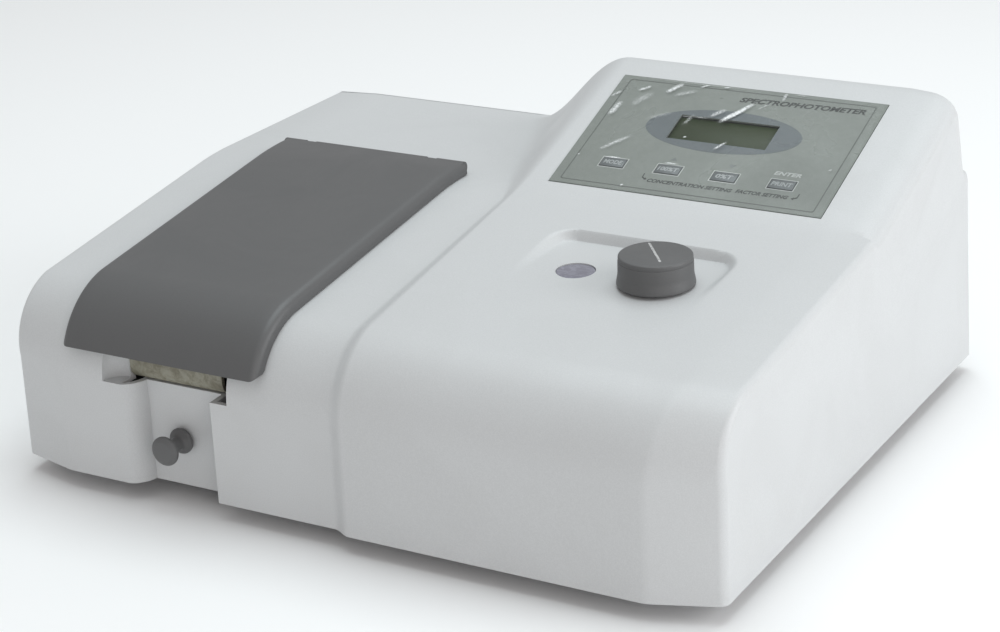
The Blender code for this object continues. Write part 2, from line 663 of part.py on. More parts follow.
# ---- wavelength drive ----------------------------------------------------------------------------------------
def roller_at(knob_angle):
    """The roller's centre when the knob stands at this angle."""
    reach = math.hypot(KNOB_X - ARM_X, KNOB_Y - ARM_Y)
    bearing = math.atan2(KNOB_Y - ARM_Y, KNOB_X - ARM_X)
    open_angle = math.acos(ARM_LENGTH / reach)
    angle = bearing - open_angle + ARM_PER_KNOB * knob_angle
    return Vector((ARM_X + ARM_LENGTH * math.cos(angle), ARM_Y + ARM_LENGTH * math.sin(angle)))


def make_wavelength_cam():
    """A snail cam whose radius follows the roller through the knob's travel."""
    half = math.radians(KNOB_HALF_TURN)
    centre = Vector((KNOB_X, KNOB_Y))
    outline = []
    steps = 30
    for step in range(steps + 1):
        knob = blend(-half, half, step / steps)
        arm = roller_at(knob) - centre
        radius = arm.length - ROLLER_R * 1.03 - 0.4
        angle = math.atan2(arm.y, arm.x) - knob
        outline.append((KNOB_X + radius * math.cos(angle), KNOB_Y + radius * math.sin(angle)))
    cam = prism("wavelength_cam", outline, CAM_Z[0], CAM_Z[1], "Z", BRASS)
    cut(cam, cylinder("cut_cam_bore", (KNOB_X, KNOB_Y, 80.0), 30.0, 3.35, "Z", None, 20))
    return cam


def make_wavelength_drive():
    z = KNOB_FLOOR_Z + 0.6
    top = z + KNOB_TALL
    rim = KNOB_R - 1.3
    profile = [(0.0, top), (rim, top), (KNOB_R - 0.3, top - 0.5), (KNOB_R, top - 1.4), (KNOB_R + 0.1, z + 5.0),
               (KNOB_BASE_R, z + 2.2), (KNOB_BASE_R, z), (KNOB_BASE_R - 3, z), (KNOB_BASE_R - 3.5, z + 9.0),
               (6.0, z + 9.0), (6.0, z + 1.0), (3.35, z + 1.0), (3.35, z + 13.0), (0.0, z + 13.0)]
    turned("wavelength_knob", profile, (KNOB_X, KNOB_Y, 0.0), "Z", DARK_GREY, 48)
    cylinder("wavelength_shaft", (KNOB_X, KNOB_Y, 80.0), z + 12.5 - 80.0, 3.0, "Z", CHROME, 20)
    dial = cylinder("wavelength_dial", (KNOB_X, KNOB_Y, 102.5), 1.5, 57.0, "Z", ALUMINIUM, 64)
    fuse(dial, cylinder("dial_hub", (KNOB_X, KNOB_Y, 99.0), 5.0, 8.0, "Z", None, 20))
    cut(dial, cylinder("cut_dial_bore", (KNOB_X, KNOB_Y, 90.0), 30.0, 3.35, "Z", None, 20))
    make_wavelength_cam()
    lens = [(0.0, 0.0), (5.5, -0.15), (WINDOW_R - 0.5, -0.5), (WINDOW_R - 0.5, -1.3), (0.0, -1.3)]
    turned("wavelength_window", lens, (WINDOW_X, WINDOW_Y, KNOB_FLOOR_Z - GAP), "Z", LENS, 28)


def make_bridge():
    """The table that carries the knob's bush and the grating's shaft over the optics plate."""
    bridge = block("drive_bracket", (236.0, 104.0, BRIDGE_Z[0]), (400.0, 170.0, BRIDGE_Z[1]), ALUMINIUM)
    floor = OPTICS_Z[1] + GAP
    for x in (236.0, 394.0):
        fuse(bridge, block("leg", (x, 104.0, floor), (x + 6.0, 170.0, BRIDGE_Z[1]), None))
    cut(bridge, cylinder("cut_shaft_bearing", (KNOB_X, KNOB_Y, 70.0), 30.0, 3.35, "Z", None, 20))
    cut(bridge, cylinder("cut_arm_bearing", (ARM_X, ARM_Y, 70.0), 30.0, 4.3, "Z", None, 20))
    return bridge


def make_grating():
    roller = roller_at(0.0)
    along = math.atan2(roller.y - ARM_Y, roller.x - ARM_X)
    pivot = frame("arm_axis", (ARM_X, ARM_Y, 0.0), (0.0, 0.0, along), ROOT)
    arm = block("grating_arm", (-12.0, -5.0, CAM_Z[0] - 2), (ARM_LENGTH + 5.0, 5.0, CAM_Z[0] - 2 + 1.6),
                ALUMINIUM, parent=pivot)
    fuse(arm, cylinder("arm_hub", (0.0, 0.0, CAM_Z[0] - 2), 6.0, 8.0, "Z", None, 20, pivot))
    fuse(arm, cylinder("nose", (ARM_LENGTH, 0.0, CAM_Z[0] - 2), 6.4, ROLLER_R, "Z", None, 20, pivot))
    cut(arm, cylinder("cut_arm_bore", (0.0, 0.0, 70.0), 40.0, 4.35, "Z", None, 20, pivot))
    foot = OPTICS_Z[1] + GAP
    table = cylinder("grating_table", (ARM_X, ARM_Y, foot), 97.5 - foot, 4.0, "Z", ALUMINIUM, 20)
    fuse(table, cylinder("disc", (ARM_X, ARM_Y, 44.0), 5.0, 19.0, "Z", None, 28))
    fuse(table, block("grating_back", (ARM_X - 17.0, ARM_Y + 5.2, 47.0), (ARM_X + 17.0, ARM_Y + 10.0, 82.0), None))
    block("grating", (ARM_X - 15.0, ARM_Y - 9.6, 49.4), (ARM_X + 15.0, ARM_Y - 4.6, 79.4), MIRROR)
    fuse(table, block("grating_clip", (ARM_X - 15.0, ARM_Y - 12.5, 47.0), (ARM_X + 15.0, ARM_Y - 10.2, 52.0), None))


def make_optics():
    plate = block("optics_plate", (162.0, 14.0, OPTICS_Z[0]), (428.0, 202.0, OPTICS_Z[1]), CAST)
    for x in (172.0, 418.0):
        for y in (24.0, 192.0):
            fuse(plate, cylinder("leg", (x, y, BASE_Z[1] + GAP), 10.0, 6.0, "Z", None, 16))
    floor = OPTICS_Z[1] + GAP
    fuse(plate, block("exit_wall", (165.0, BEAM_Y - 18, OPTICS_Z[0] + 1), (168.0, BEAM_Y + 18, 88.0), None))
    fuse(plate, block("mirror_wall", (412.0, 44.0, OPTICS_Z[0] + 1), (418.0, 104.0, 100.0), None))
    cut(plate, block("cut_exit_slit", (160.0, BEAM_Y - 0.5, BEAM_Z - 6), (172.0, BEAM_Y + 0.5, BEAM_Z + 6), None))
    entrance = block("entrance_slit", (202.0, 196.0, floor), (238.0, 199.0, 88.0), BLACK)
    cut(entrance, block("cut_entrance_slit", (219.5, 190.0, BEAM_Z - 6), (220.5, 205.0, BEAM_Z + 6), None))
    folding = block("folding_mirror", (-20.0, -3.0, 0.0), (20.0, 3.0, 56.0), MIRROR,
                    parent=frame("fold_axis", (220.0, 74.0, floor), (0.0, 0.0, math.radians(45)), ROOT))
    round_edges(folding, 1.0)
    cut(plate, cylinder("cut_mirror_seat", (405.0, 74.0, BEAM_Z), 20.0, 21.0, "X", None, 28))
    dish = [(26.0, 0.0), (26.0, -7.0), (0.0, -7.0)]
    hollow = [(step * 26.0 / 5, -2.2 * (1 - (step / 5) ** 2)) for step in range(5)]
    turned("collimating_mirror", hollow + dish, (411.7, 74.0, BEAM_Z), "X", MIRROR,
           32).rotation_euler = (0.0, -math.pi / 2, 0.0)
    bpy.data.objects["collimating_mirror"].location.x = (411.7 - 7.0) * MM


# ---- light source and detector -----------------------------------------------------------------------------
def make_lamp():
    floor = BASE_Z[1] + GAP
    housing = block("lamp_housing", (184.0, 226.0, floor), (256.0, 300.0, 100.0), GREY_STEEL)
    cut(housing, block("cut_housing", (186.0, 228.0, floor + 2.0), (254.0, 298.0, 110.0), None))
    cut(housing, cylinder("cut_lens_hole", (LAMP_X, 220.0, BEAM_Z), 12.0, 11.5, "Y", None, 24))
    for index in range(4):
        x = 193.0 + 15.0 * index
        cut(housing, block("cut_heat_slot", (x, 290.0, 25.0), (x + 7.0, 305.0, 85.0), None))
    socket = block("lamp_socket", (LAMP_X - 13, LAMP_Y - 11, floor + 2.3), (LAMP_X + 13, LAMP_Y + 11, 46.0),
                   CERAMIC, 1.5)
    cut(socket, cylinder("cut_lamp_well", (LAMP_X, LAMP_Y, 38.0), 12.0, 5.4, "Z", None, 16))
    bulb = [(0.0, 82.0), (3.6, 80.6), (6.2, 77.0), (7.0, 72.0), (7.0, 56.0), (4.8, 50.0), (4.8, 38.5), (0.0, 38.5)]
    turned("lamp", bulb, (LAMP_X, LAMP_Y, 0.0), "Z", GLASS, 20)
    lens = [(0.0, 5.0), (6.0, 4.4), (11.0, 2.6), (11.0, 1.4), (6.0, 0.3), (0.0, 0.0)]
    turned("condenser_lens", lens, (LAMP_X, 224.5, BEAM_Z), "Y", LENS, 24)


def make_detector():
    floor = BASE_Z[1] + GAP
    box = block("detector_housing", (10.0, 78.0, floor), (61.0, 130.0, 98.0), GREY_STEEL)
    cut(box, block("cut_detector", (12.5, 80.5, floor + 2.5), (58.5, 127.5, 95.5), None))
    cut(box, cylinder("cut_aperture", (50.0, BEAM_Y, BEAM_Z), 20.0, 6.0, "X", None, 20))
    base = floor + 2.5 + GAP
    tube = [(0.0, 88.0), (5.0, 87.0), (9.5, 84.0), (11.5, 79.0), (11.5, 45.0), (9.0, 38.0), (9.0, 30.0),
            (14.0, 29.0), (14.0, base), (0.0, base)]
    turned("phototube", tube, (36.0, BEAM_Y, 0.0), "Z", GLASS, 24)


# ---- electronics -----------------------------------------------------------------------------------------------
def make_boards():
    z = POST_TOP + GAP
    board = block("main_board", (18.0, 212.0, z), (150.0, 336.0, z + 1.6), BOARD)
    top = z + 1.6
    chips = ((60, 235, 34, 14, 4), (100, 240, 26, 26, 3), (60, 275, 30, 12, 4), (34, 300, 20, 20, 24),
             (70, 305, 18, 18, 20), (100, 300, 30, 22, 12))
    for x, y, wide, deep, tall in chips:
        fuse(board, block("chip", (x, y, top - 0.5), (x + wide, y + deep, top + tall), None))
    fuse(board, block("heat_sink", (26.0, 216.0, top - 0.5), (50.0, 268.0, top + 30.0), None))
    for index in range(4):
        x = 29.0 + 5.0 * index
        cut(board, block("cut_fin", (x, 210.0, top + 6.0), (x + 3.0, 275.0, top + 40.0), None))
    core = block("transformer_core", (292.0, 232.0, BASE_Z[1] + GAP), (352.0, 262.0, 62.0), CAST, 1.0)
    for x in (302.0, 332.0):
        cut(core, block("cut_core", (x, 220.0, 14.0), (x + 10.0, 275.0, 52.0), None))
    coil = block("transformer_coil", (302.3, 222.0, 14.3), (341.7, 272.0, 51.7), COPPER, 3.0)
    cut(coil, block("cut_coil", (311.7, 231.7, 5.0), (332.3, 262.3, 60.0), None))


def make_fan():
    y0, y1 = 327.0, PANEL_BACK_Y[0] - GAP
    housing = block("fan_frame", (FAN_X - 30, y0, FAN_Z - 30), (FAN_X + 30, y1, FAN_Z + 30), BLACK)
    cut(housing, cylinder("cut_fan_bore", (FAN_X, y0 - 5, FAN_Z), 30.0, 28.0, "Y", None, 32))
    for index in range(3):
        angle = math.tau * index / 3
        spoke = block("spoke", (-2.0, y1 - 2.0, 0.0), (2.0, y1, 30.0), None)
        spoke.location = Vector((FAN_X + 15 * math.sin(angle), y1 - 1.0, FAN_Z + 15 * math.cos(angle))) * MM
        spoke.rotation_euler = (0.0, angle, 0.0)
        fuse(housing, spoke)
    fuse(housing, cylinder("motor_seat", (FAN_X, y1 - 2.0, FAN_Z), 2.0, 12.0, "Y", None, 24))
    rotor = cylinder("fan_rotor", (FAN_X, y0 + 1.0, FAN_Z), y1 - y0 - 4.0, 11.0, "Y", BLACK, 24)
    for index in range(7):
        angle = math.tau * index / 7
        blade = block("blade", (-1.0, -5.0, -9.0), (1.0, 5.0, 9.0), None)
        blade.location = Vector((FAN_X + 17.5 * math.sin(angle), y0 + 6.7, FAN_Z + 17.5 * math.cos(angle))) * MM
        tilt = Euler((0.0, angle, 0.0)).to_matrix() @ Euler((0.0, 0.0, math.radians(50))).to_matrix()
        blade.rotation_euler = tilt.to_euler()
        fuse(rotor, blade)


def make_connectors():
    back = PANEL_BACK_Y[1] + GAP
    inlet = block("power_inlet", (384.0, back, 17.0), (418.0, back + 2.5, 69.0), BLACK, 0.6)
    fuse(inlet, block("inlet_body", (388.0, 322.0, 22.0), (414.0, back + 1.0, 64.0), None))
    cut(inlet, block("cut_inlet", (390.0, 330.0, 42.0), (412.0, back + 9.0, 60.0), None))
    for x, z in ((401.0, 54.0), (395.0, 47.0), (407.0, 47.0)):
        fuse(inlet, block("inlet_pin", (x - 1.0, 328.0, z - 2.0), (x + 1.0, 344.0, z + 2.0), None))
    cut(inlet, block("cut_fuse_bay", (392.6, 328.0, 24.6), (409.4, back + 9.0, 37.4), None))
    drawer = block("fuse_drawer", (393.0, 330.0, 25.0), (409.0, back + 3.3, 37.0), BLACK)
    cut(drawer, block("cut_fuse_tray", (395.0, 331.5, 27.0), (407.0, 343.0, 45.0), None))
    frame_piece = block("switch_frame", (338.0, back, 30.0), (360.0, back + 2.0, 60.0), BLACK)
    fuse(frame_piece, block("switch_body", (342.0, 326.0, 34.0), (356.0, back + 1.0, 56.0), None))
    cut(frame_piece, block("cut_switch", (344.0, 336.0, 36.0), (354.0, back + 9.0, 54.0), None))
    make_rocker(back)
    port = block("serial_port", (284.0, back, 36.0), (316.0, back + 1.0, 50.0), STEEL)
    fuse(port, block("port_body", (291.0, 334.0, 39.0), (309.0, back + 0.5, 47.0), None))
    shell = [(291.5, 47.4), (308.5, 47.4), (306.5, 38.6), (293.5, 38.6)]
    fuse(port, prism("port_shell", shell, back, back + 6.0, "Y", None))
    inner = [(292.5, 46.6), (307.5, 46.6), (305.7, 39.4), (294.3, 39.4)]
    cut(port, prism("cut_port", inner, back + 0.6, back + 9.0, "Y", None))


def make_rocker(back):
    """The rocker rests on its off side, turned by half its travel."""
    axis_y, axis_z = 343.5, 45.0
    half = math.radians(7.0)
    outline = [(-4.0, -5.5), (-4.0, 5.5), (3.0, 8.2), (5.6, 8.2), (4.4, 0.0), (5.6, -8.2), (3.0, -8.2)]
    tilted = [(axis_y + y * math.cos(half) - z * math.sin(half), axis_z + y * math.sin(half) + z * math.cos(half))
              for y, z in outline]
    rocker = prism("power_switch", tilted, 344.4, 353.6, "X", BLACK)
    pivot_at(rocker, (349.0, axis_y, axis_z))


# ---- display panel -----------------------------------------------------------------------------------------------
def make_panel():
    overlay = block("panel_overlay", (0.0, 0.0, -0.5), (PANEL_W, PANEL_H, 0.4), SILVER, parent=PANEL_FRAME)
    cut(overlay, block("cut_display", (LCD_U[0], LCD_V[0], -5.0), (LCD_U[1], LCD_V[1], 5.0), None,
                       parent=PANEL_FRAME))
    for name, u in KEY_CENTRES.items():
        half_w, half_h = KEY_W / 2, KEY_H / 2
        cut(overlay, block("cut_key", (u - half_w - GAP, KEY_V - half_h - GAP, -5.0),
                           (u + half_w + GAP, KEY_V + half_h + GAP, 5.0), None, parent=PANEL_FRAME))
        key = block(name, (u - half_w, KEY_V - half_h, -2.5), (u + half_w, KEY_V + half_h, 1.0), KEY_GREY,
                    parent=PANEL_FRAME)
        fuse(key, cylinder("stem", (u, KEY_V, -8.6), 7.0, 2.0, "Z", None, 12, PANEL_FRAME))
    block("display_board", (6.0, 10.0, -12.0), (160.0, 92.0, -10.4), BOARD, parent=PANEL_FRAME)
    module = block("display_module", (44.0, 46.0, -10.1), (122.0, 83.0, -1.0), LCD_GREEN, parent=PANEL_FRAME)
    cut(module, block("cut_glass", (LCD_U[0], LCD_V[0], -1.6), (LCD_U[1], LCD_V[1], 2.0), None,
                      parent=PANEL_FRAME))


# ---- build -----------------------------------------------------------------------------------------------------------
clear_scene()
PARTS = collection("spectrophotometer")
CUTTERS = collection("cutters")
ROOT = frame("instrument", (-WIDTH / 2, -(PULL_Y + REAR_Y) / 2, FOOT_H))
PANEL_FRAME = frame("panel_frame", (PANEL_X, PANEL_Y, PANEL_Z), (math.radians(CONSOLE_DEG), 0.0, 0.0), ROOT)

WHITE = material("white_moulding", (0.62, 0.67, 0.68), 0.45)
DARK_GREY = material("dark_grey_plastic", (0.14, 0.14, 0.14), 0.5)
BLACK = material("black_finish", (0.02, 0.02, 0.02), 0.6)
BEIGE = material("beige_paint", (0.45, 0.43, 0.32), 0.5)
STEEL = material("steel_plate", (0.55, 0.55, 0.55), 0.4, 1.0)
GREY_STEEL = material("grey_painted_steel", (0.35, 0.36, 0.37), 0.5)
CAST = material("cast_metal", (0.18, 0.18, 0.19), 0.6, 0.5)
ALUMINIUM = material("aluminium", (0.75, 0.75, 0.76), 0.35, 1.0)
BRASS = material("brass", (0.75, 0.55, 0.25), 0.35, 1.0)
CHROME = material("chrome", (0.8, 0.8, 0.82), 0.15, 1.0)
COPPER = material("copper_winding", (0.45, 0.2, 0.08), 0.4, 0.8)
RUBBER = material("black_rubber", (0.02, 0.02, 0.02), 0.9)
GLASS = material("clear_glass", (0.85, 0.88, 0.9), 0.05)
LENS = material("lens_glass", (0.4, 0.4, 0.46), 0.1)
MIRROR = material("mirror_coat", (0.85, 0.86, 0.88), 0.05, 1.0)
CERAMIC = material("ceramic", (0.8, 0.78, 0.72), 0.6)
BOARD = material("circuit_board", (0.02, 0.12, 0.05), 0.5)
SILVER = material("panel_print", (0.26, 0.29, 0.27), 0.35)
KEY_GREY = material("key_print", (0.1, 0.11, 0.11), 0.5)
LCD_GREEN = material("display_green", (0.06, 0.08, 0.035), 0.2)

make_casing()
make_base()
make_feet()
make_rear_panel()
make_chamber()
make_carriage()
make_pull_rod()
make_shutter()
make_lid()
make_wavelength_drive()
make_bridge()
make_grating()
make_optics()
make_lamp()
make_detector()
make_boards()
make_fan()
make_connectors()
make_panel()
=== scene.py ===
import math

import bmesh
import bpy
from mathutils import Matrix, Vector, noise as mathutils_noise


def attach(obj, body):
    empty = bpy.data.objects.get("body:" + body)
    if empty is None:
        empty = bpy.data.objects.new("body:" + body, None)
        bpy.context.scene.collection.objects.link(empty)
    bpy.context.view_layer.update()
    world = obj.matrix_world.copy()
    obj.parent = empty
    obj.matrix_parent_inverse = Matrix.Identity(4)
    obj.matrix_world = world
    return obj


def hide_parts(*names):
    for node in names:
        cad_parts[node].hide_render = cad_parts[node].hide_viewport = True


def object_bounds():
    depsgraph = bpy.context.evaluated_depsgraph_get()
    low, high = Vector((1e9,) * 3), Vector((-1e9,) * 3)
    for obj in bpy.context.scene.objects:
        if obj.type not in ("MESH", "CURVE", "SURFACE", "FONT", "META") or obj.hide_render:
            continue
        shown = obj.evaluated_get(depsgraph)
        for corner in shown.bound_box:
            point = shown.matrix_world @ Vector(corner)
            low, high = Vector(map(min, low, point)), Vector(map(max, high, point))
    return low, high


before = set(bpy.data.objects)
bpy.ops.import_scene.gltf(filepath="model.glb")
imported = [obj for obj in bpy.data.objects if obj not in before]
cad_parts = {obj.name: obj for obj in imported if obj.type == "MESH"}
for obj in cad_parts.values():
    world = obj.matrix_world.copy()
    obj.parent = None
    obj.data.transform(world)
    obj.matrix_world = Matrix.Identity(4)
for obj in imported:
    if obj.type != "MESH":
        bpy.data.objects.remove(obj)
CAD_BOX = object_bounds()

# Looks of a bench spectrophotometer, built round its CAD model. Shapes are drawn in millimetres in
# the casing's own frame: x from the left side, y from the left half's front face to the rear, z up
# from the casing's bottom rim. A finished piece is moved to the model's frame, in metres. Printed
# pieces are drawn in the console panel's own frame (u, v, w).

MM = 0.001
PULL_REACH, FOOT_HEIGHT, REAR_Y = 8.4, 10.0, 363.0
FRAME_ORIGIN = Vector((CAD_BOX[0][0], CAD_BOX[1][1] - REAR_Y * MM, CAD_BOX[0][2] + FOOT_HEIGHT * MM))
TO_MODEL = Matrix.Translation(FRAME_ORIGIN) @ Matrix.Scale(MM, 4)
INSTRUMENT = "instrument"

# ---- casing sizes ----
WIDTH = 440.0
SKIN = 3.0
RIGHT_STEP = 5.0
BROW_R = 44.0
LEFT_SLOPE, LEFT_Z60 = 0.118, 106.0
RIGHT_SLOPE, RIGHT_Z60 = 0.112, 109.8
KINK_L = 205.0
PLATEAU_FALL = 0.012
CONSOLE_DEG = 19.5
CROWN = (339.0, 173.65)
CROWN_R = 9.0
CROWN_TOP = 170.66
FOOT_OF_CONSOLE_Y = 346.0
SHOULDER_Y = 354.0
SHOULDER_R = 5.0
SIDE_DRAFT = 0.008
FLAT_X = 45.0
PANEL_AT = (234.0, 214.9, 129.7)
PANEL_W, PANEL_H = 169.0, 106.5
PANEL = Matrix.Translation(PANEL_AT) @ Matrix.Rotation(math.radians(CONSOLE_DEG), 4, "X")
RIDGE_KINK_Y = 196.0
SIDE_ROUND, RAISED_ROUND = (4.0, 4.0), (18.0, 8.0)      # an edge's reach in from the side, and drop
TOP_CHAMFER, LEFT_CHAMFER, RIGHT_CHAMFER, CREASE_SOFT = 1.5, 9.5, 14.0, 3.0
BAY_X, BAY_REAR_Y, BAY_FLOOR = (265.0, 380.5), 167.6, 116.0
BAY_WALLS, BAY_REAR_WALL, BAY_RADII = (7.5, 6.0), 2.6, (15.0, 17.0)      # left and right
BAY_MIDDLE_X, BAY_FADE_Y = 310.0, 97.0
MOUTH_X, MOUTH_Y = (68.0, 150.0), (46.0, 182.0)
NOTCH_X, NOTCH_Z = (68.0, 151.5), (60.0, 84.0)
ROD_X, ROD_Z = 111.5, 28.2
SHUTTER_PIN_X, BEAM_Y = 159.5, 104.0
LID_X = (44.0, 174.5)
LID_RISE, LID_LIFT, LID_LIP_Z = 8.0, 0.6, 79.0
HINGE_Y, HINGE_Z, LID_END_R = 223.0, 127.0, 3.9
LUG_XS, LUG_GAP, LID_SKIN = (64.0, 150.0), 7.6, 2.5
KNOB_X, KNOB_Y, KNOB_R, KNOB_BASE_R, KNOB_TALL = 348.0, 122.8, 20.3, 21.2, 16.4
MARK_DEG = 37.6
WINDOW_X, WINDOW_Y, WINDOW_R = 299.0, 124.5, 11.0
FAN_X, FAN_Z, REAR_PANEL_Y = 235.0, 55.0, 345.0


# ---- node groups shared by the finishes ----
MIX_AMOUNT, MIX_A, MIX_B, MIX_RESULT = 0, 6, 7, 2     # colour sockets of Blender's Mix node
SURFACE_OUTPUTS = (("Color", "Color"), ("Roughness", "Float"), ("Height", "Float"))
ALONG_X = (40.0, 900.0, 900.0)                        # stroke density, per metre, on each axis
BUMP_MM = 0.05


def new_group(name, inputs, outputs, kind="ShaderNodeTree"):
    """A node tree whose sockets are (label, kind without NodeSocket, value)."""
    tree = bpy.data.node_groups.new(name, kind)
    for label, socket_kind, value in inputs:
        socket = tree.interface.new_socket(label, in_out="INPUT", socket_type="NodeSocket" + socket_kind)
        if value is not None:
            socket.default_value = value
    for label, socket_kind in outputs:
        tree.interface.new_socket(label, in_out="OUTPUT", socket_type="NodeSocket" + socket_kind)
    return tree, tree.nodes.new("NodeGroupInput"), tree.nodes.new("NodeGroupOutput")


def node(tree, kind, **settings):
    made = tree.nodes.new(kind)
    for name, value in settings.items():
        setattr(made, name, value)
    return made


def feed(tree, made, values):
    """Give each named or numbered input a plain value, or link it to another node's output."""
    for key, value in values.items():
        if isinstance(value, bpy.types.NodeSocket):
            tree.links.new(value, made.inputs[key])
        else:
            made.inputs[key].default_value = value
    return made


def noise(tree, vector, scale, detail=3.0, roughness=0.5, distortion=0.0):
    made = feed(tree, node(tree, "ShaderNodeTexNoise"),
                {"Vector": vector, "Scale": scale, "Detail": detail, "Roughness": roughness,
                 "Distortion": distortion})
    return made.outputs["Fac"]


def remap(tree, value, low, high, to_low, to_high):
    made = feed(tree, node(tree, "ShaderNodeMapRange", interpolation_type="SMOOTHSTEP"),
                {"Value": value, "From Min": low, "From Max": high, "To Min": to_low, "To Max": to_high})
    return made.outputs["Result"]


def mix_colour(tree, amount, first, second, blend="MIX"):
    made = feed(tree, node(tree, "ShaderNodeMix", data_type="RGBA", blend_type=blend),
                {MIX_AMOUNT: amount, MIX_A: first, MIX_B: second})
    return made.outputs[MIX_RESULT]


def math_node(tree, operation, first, second=0.5):
    return feed(tree, node(tree, "ShaderNodeMath", operation=operation), {0: first, 1: second}).outputs[0]


def grain_group():
    """Fine mould grain with slow patches of colour and gloss, and a little dust in the patches."""
    tree, start, end = new_group("moulded_grain", (
        ("Base", "Color", (0.6, 0.6, 0.6, 1.0)), ("Patch", "Color", (0.5, 0.5, 0.5, 1.0)),
        ("Grain Scale", "Float", 2600.0), ("Patch Scale", "Float", 14.0), ("Patch Amount", "Float", 0.5),
        ("Gloss Low", "Float", 0.35), ("Gloss High", "Float", 0.5)), SURFACE_OUTPUTS)
    place = node(tree, "ShaderNodeTexCoord").outputs["Object"]
    fine = noise(tree, place, start.outputs["Grain Scale"], 2.0, 0.6)
    slow = noise(tree, place, start.outputs["Patch Scale"], 4.0, 0.55, 0.6)
    amount = math_node(tree, "MULTIPLY", remap(tree, slow, 0.35, 0.7, 0.0, 1.0),
                       start.outputs["Patch Amount"])
    colour = mix_colour(tree, amount, start.outputs["Base"], start.outputs["Patch"])
    speck = remap(tree, fine, 0.3, 0.75, 0.96, 1.03)
    shade = node(tree, "ShaderNodeCombineColor")
    for socket in shade.inputs:
        tree.links.new(speck, socket)
    feed(tree, end, {
        "Color": mix_colour(tree, 1.0, colour, shade.outputs[0], "MULTIPLY"),
        "Roughness": remap(tree, slow, 0.3, 0.7, start.outputs["Gloss Low"], start.outputs["Gloss High"]),
        "Height": math_node(tree, "ADD", fine, math_node(tree, "MULTIPLY", slow, 0.6))})
    return tree


def brushed_group():
    """Short strokes along one axis, for rolled, brushed and turned metal."""
    tree, start, end = new_group("metal_strokes", (
        ("Base", "Color", (0.6, 0.6, 0.6, 1.0)), ("Dark", "Color", (0.4, 0.4, 0.4, 1.0)),
        ("Stretch", "Vector", ALONG_X), ("Gloss Low", "Float", 0.22), ("Gloss High", "Float", 0.42)),
        SURFACE_OUTPUTS)
    mapping = feed(tree, node(tree, "ShaderNodeMapping"), {
        "Vector": node(tree, "ShaderNodeTexCoord").outputs["Object"], "Scale": start.outputs["Stretch"]})
    stroke = noise(tree, mapping.outputs[0], 1.0, 3.0, 0.6)
    share = remap(tree, stroke, 0.3, 0.7, 0.0, 1.0)
    feed(tree, end, {
        "Color": mix_colour(tree, share, start.outputs["Dark"], start.outputs["Base"]),
        "Roughness": remap(tree, stroke, 0.3, 0.7, start.outputs["Gloss Low"], start.outputs["Gloss High"]),
        "Height": stroke})
    return tree


GRAIN = grain_group()
STROKES = brushed_group()


def finish_material(name, group, values, bump, constants):
    """A Principled finish fed by a shared group; constants are the shader's plain inputs."""
    made = bpy.data.materials.new(name)
    made.use_nodes = True
    tree = made.node_tree
    effect = feed(tree, node(tree, "ShaderNodeGroup", node_tree=group), values)
    lift = feed(tree, node(tree, "ShaderNodeBump"),
                {"Strength": bump, "Distance": BUMP_MM * MM, "Height": effect.outputs["Height"]})
    fed = {"Color": "Base Color", "Roughness": "Roughness", "Alpha": "Alpha"}
    feed(tree, tree.nodes["Principled BSDF"], {
        "Normal": lift.outputs["Normal"], **constants,
        **{fed[out.name]: out for out in effect.outputs if out.name in fed}})
    return made


def plastic(name, base, patch, low, high, amount=0.5, grain=2600.0, bump=0.08, size=14.0, **constants):
    """Moulded, painted or printed finish; size is how many patches there are to the metre."""
    values = {"Base": (*base, 1.0), "Patch": (*patch, 1.0), "Grain Scale": grain, "Patch Scale": size,
              "Patch Amount": amount, "Gloss Low": low, "Gloss High": high}
    return finish_material(name, GRAIN, values, bump, constants)


def ink(name, base, patch):
    return plastic(name, base, patch, 0.3, 0.5, 0.7, 900.0, 0.05)


def metal(name, base, dark, low, high, stretch=ALONG_X, bump=0.06):
    values = {"Base": (*base, 1.0), "Dark": (*dark, 1.0), "Stretch": stretch, "Gloss Low": low,
              "Gloss High": high}
    return finish_material(name, STROKES, values, bump, {"Metallic": 1.0})


CASING = plastic("casing_moulding", (0.598, 0.607, 0.612), (0.573, 0.58, 0.583),
                 0.34, 0.44, 0.6, 1500.0, 0.05)
LID_GREY = plastic("lid_plastic", (0.106, 0.106, 0.107), (0.098, 0.098, 0.099),
                   0.36, 0.5, 0.5, 1500.0, 0.10)
KNOB_GREY = plastic("knob_plastic", (0.116, 0.116, 0.117), (0.095, 0.095, 0.096),
                    0.4, 0.55, 0.5, 1800.0, 0.10)
BLACK_PAINT = plastic("black_paint", (0.018, 0.018, 0.019), (0.03, 0.03, 0.03),
                      0.5, 0.7, 0.5, 3000.0, 0.15)
BLACK_PLASTIC = plastic("black_plastic", (0.02, 0.02, 0.021), (0.035, 0.035, 0.036),
                        0.38, 0.55, 0.4, 2200.0, 0.10)
SILL_PAINT = plastic("sill_paint", (0.29, 0.28, 0.22), (0.18, 0.165, 0.12),
                     0.4, 0.7, 0.9, 700.0, 0.3, 260.0)
GREY_PAINT = plastic("grey_powder_coat", (0.33, 0.34, 0.35), (0.29, 0.30, 0.31),
                     0.45, 0.6, 0.6, 1600.0, 0.30)
CAST = plastic("cast_metal_paint", (0.12, 0.12, 0.125), (0.09, 0.09, 0.095), 0.5, 0.7, 0.8, 900.0, 0.5)
RUBBER = plastic("black_rubber", (0.022, 0.022, 0.023), (0.04, 0.04, 0.04), 0.7, 0.9, 0.7, 1400.0, 0.25)
FOAM = plastic("seal_foam", (0.03, 0.03, 0.032), (0.05, 0.05, 0.05), 0.85, 0.98, 0.6, 900.0, 0.7)
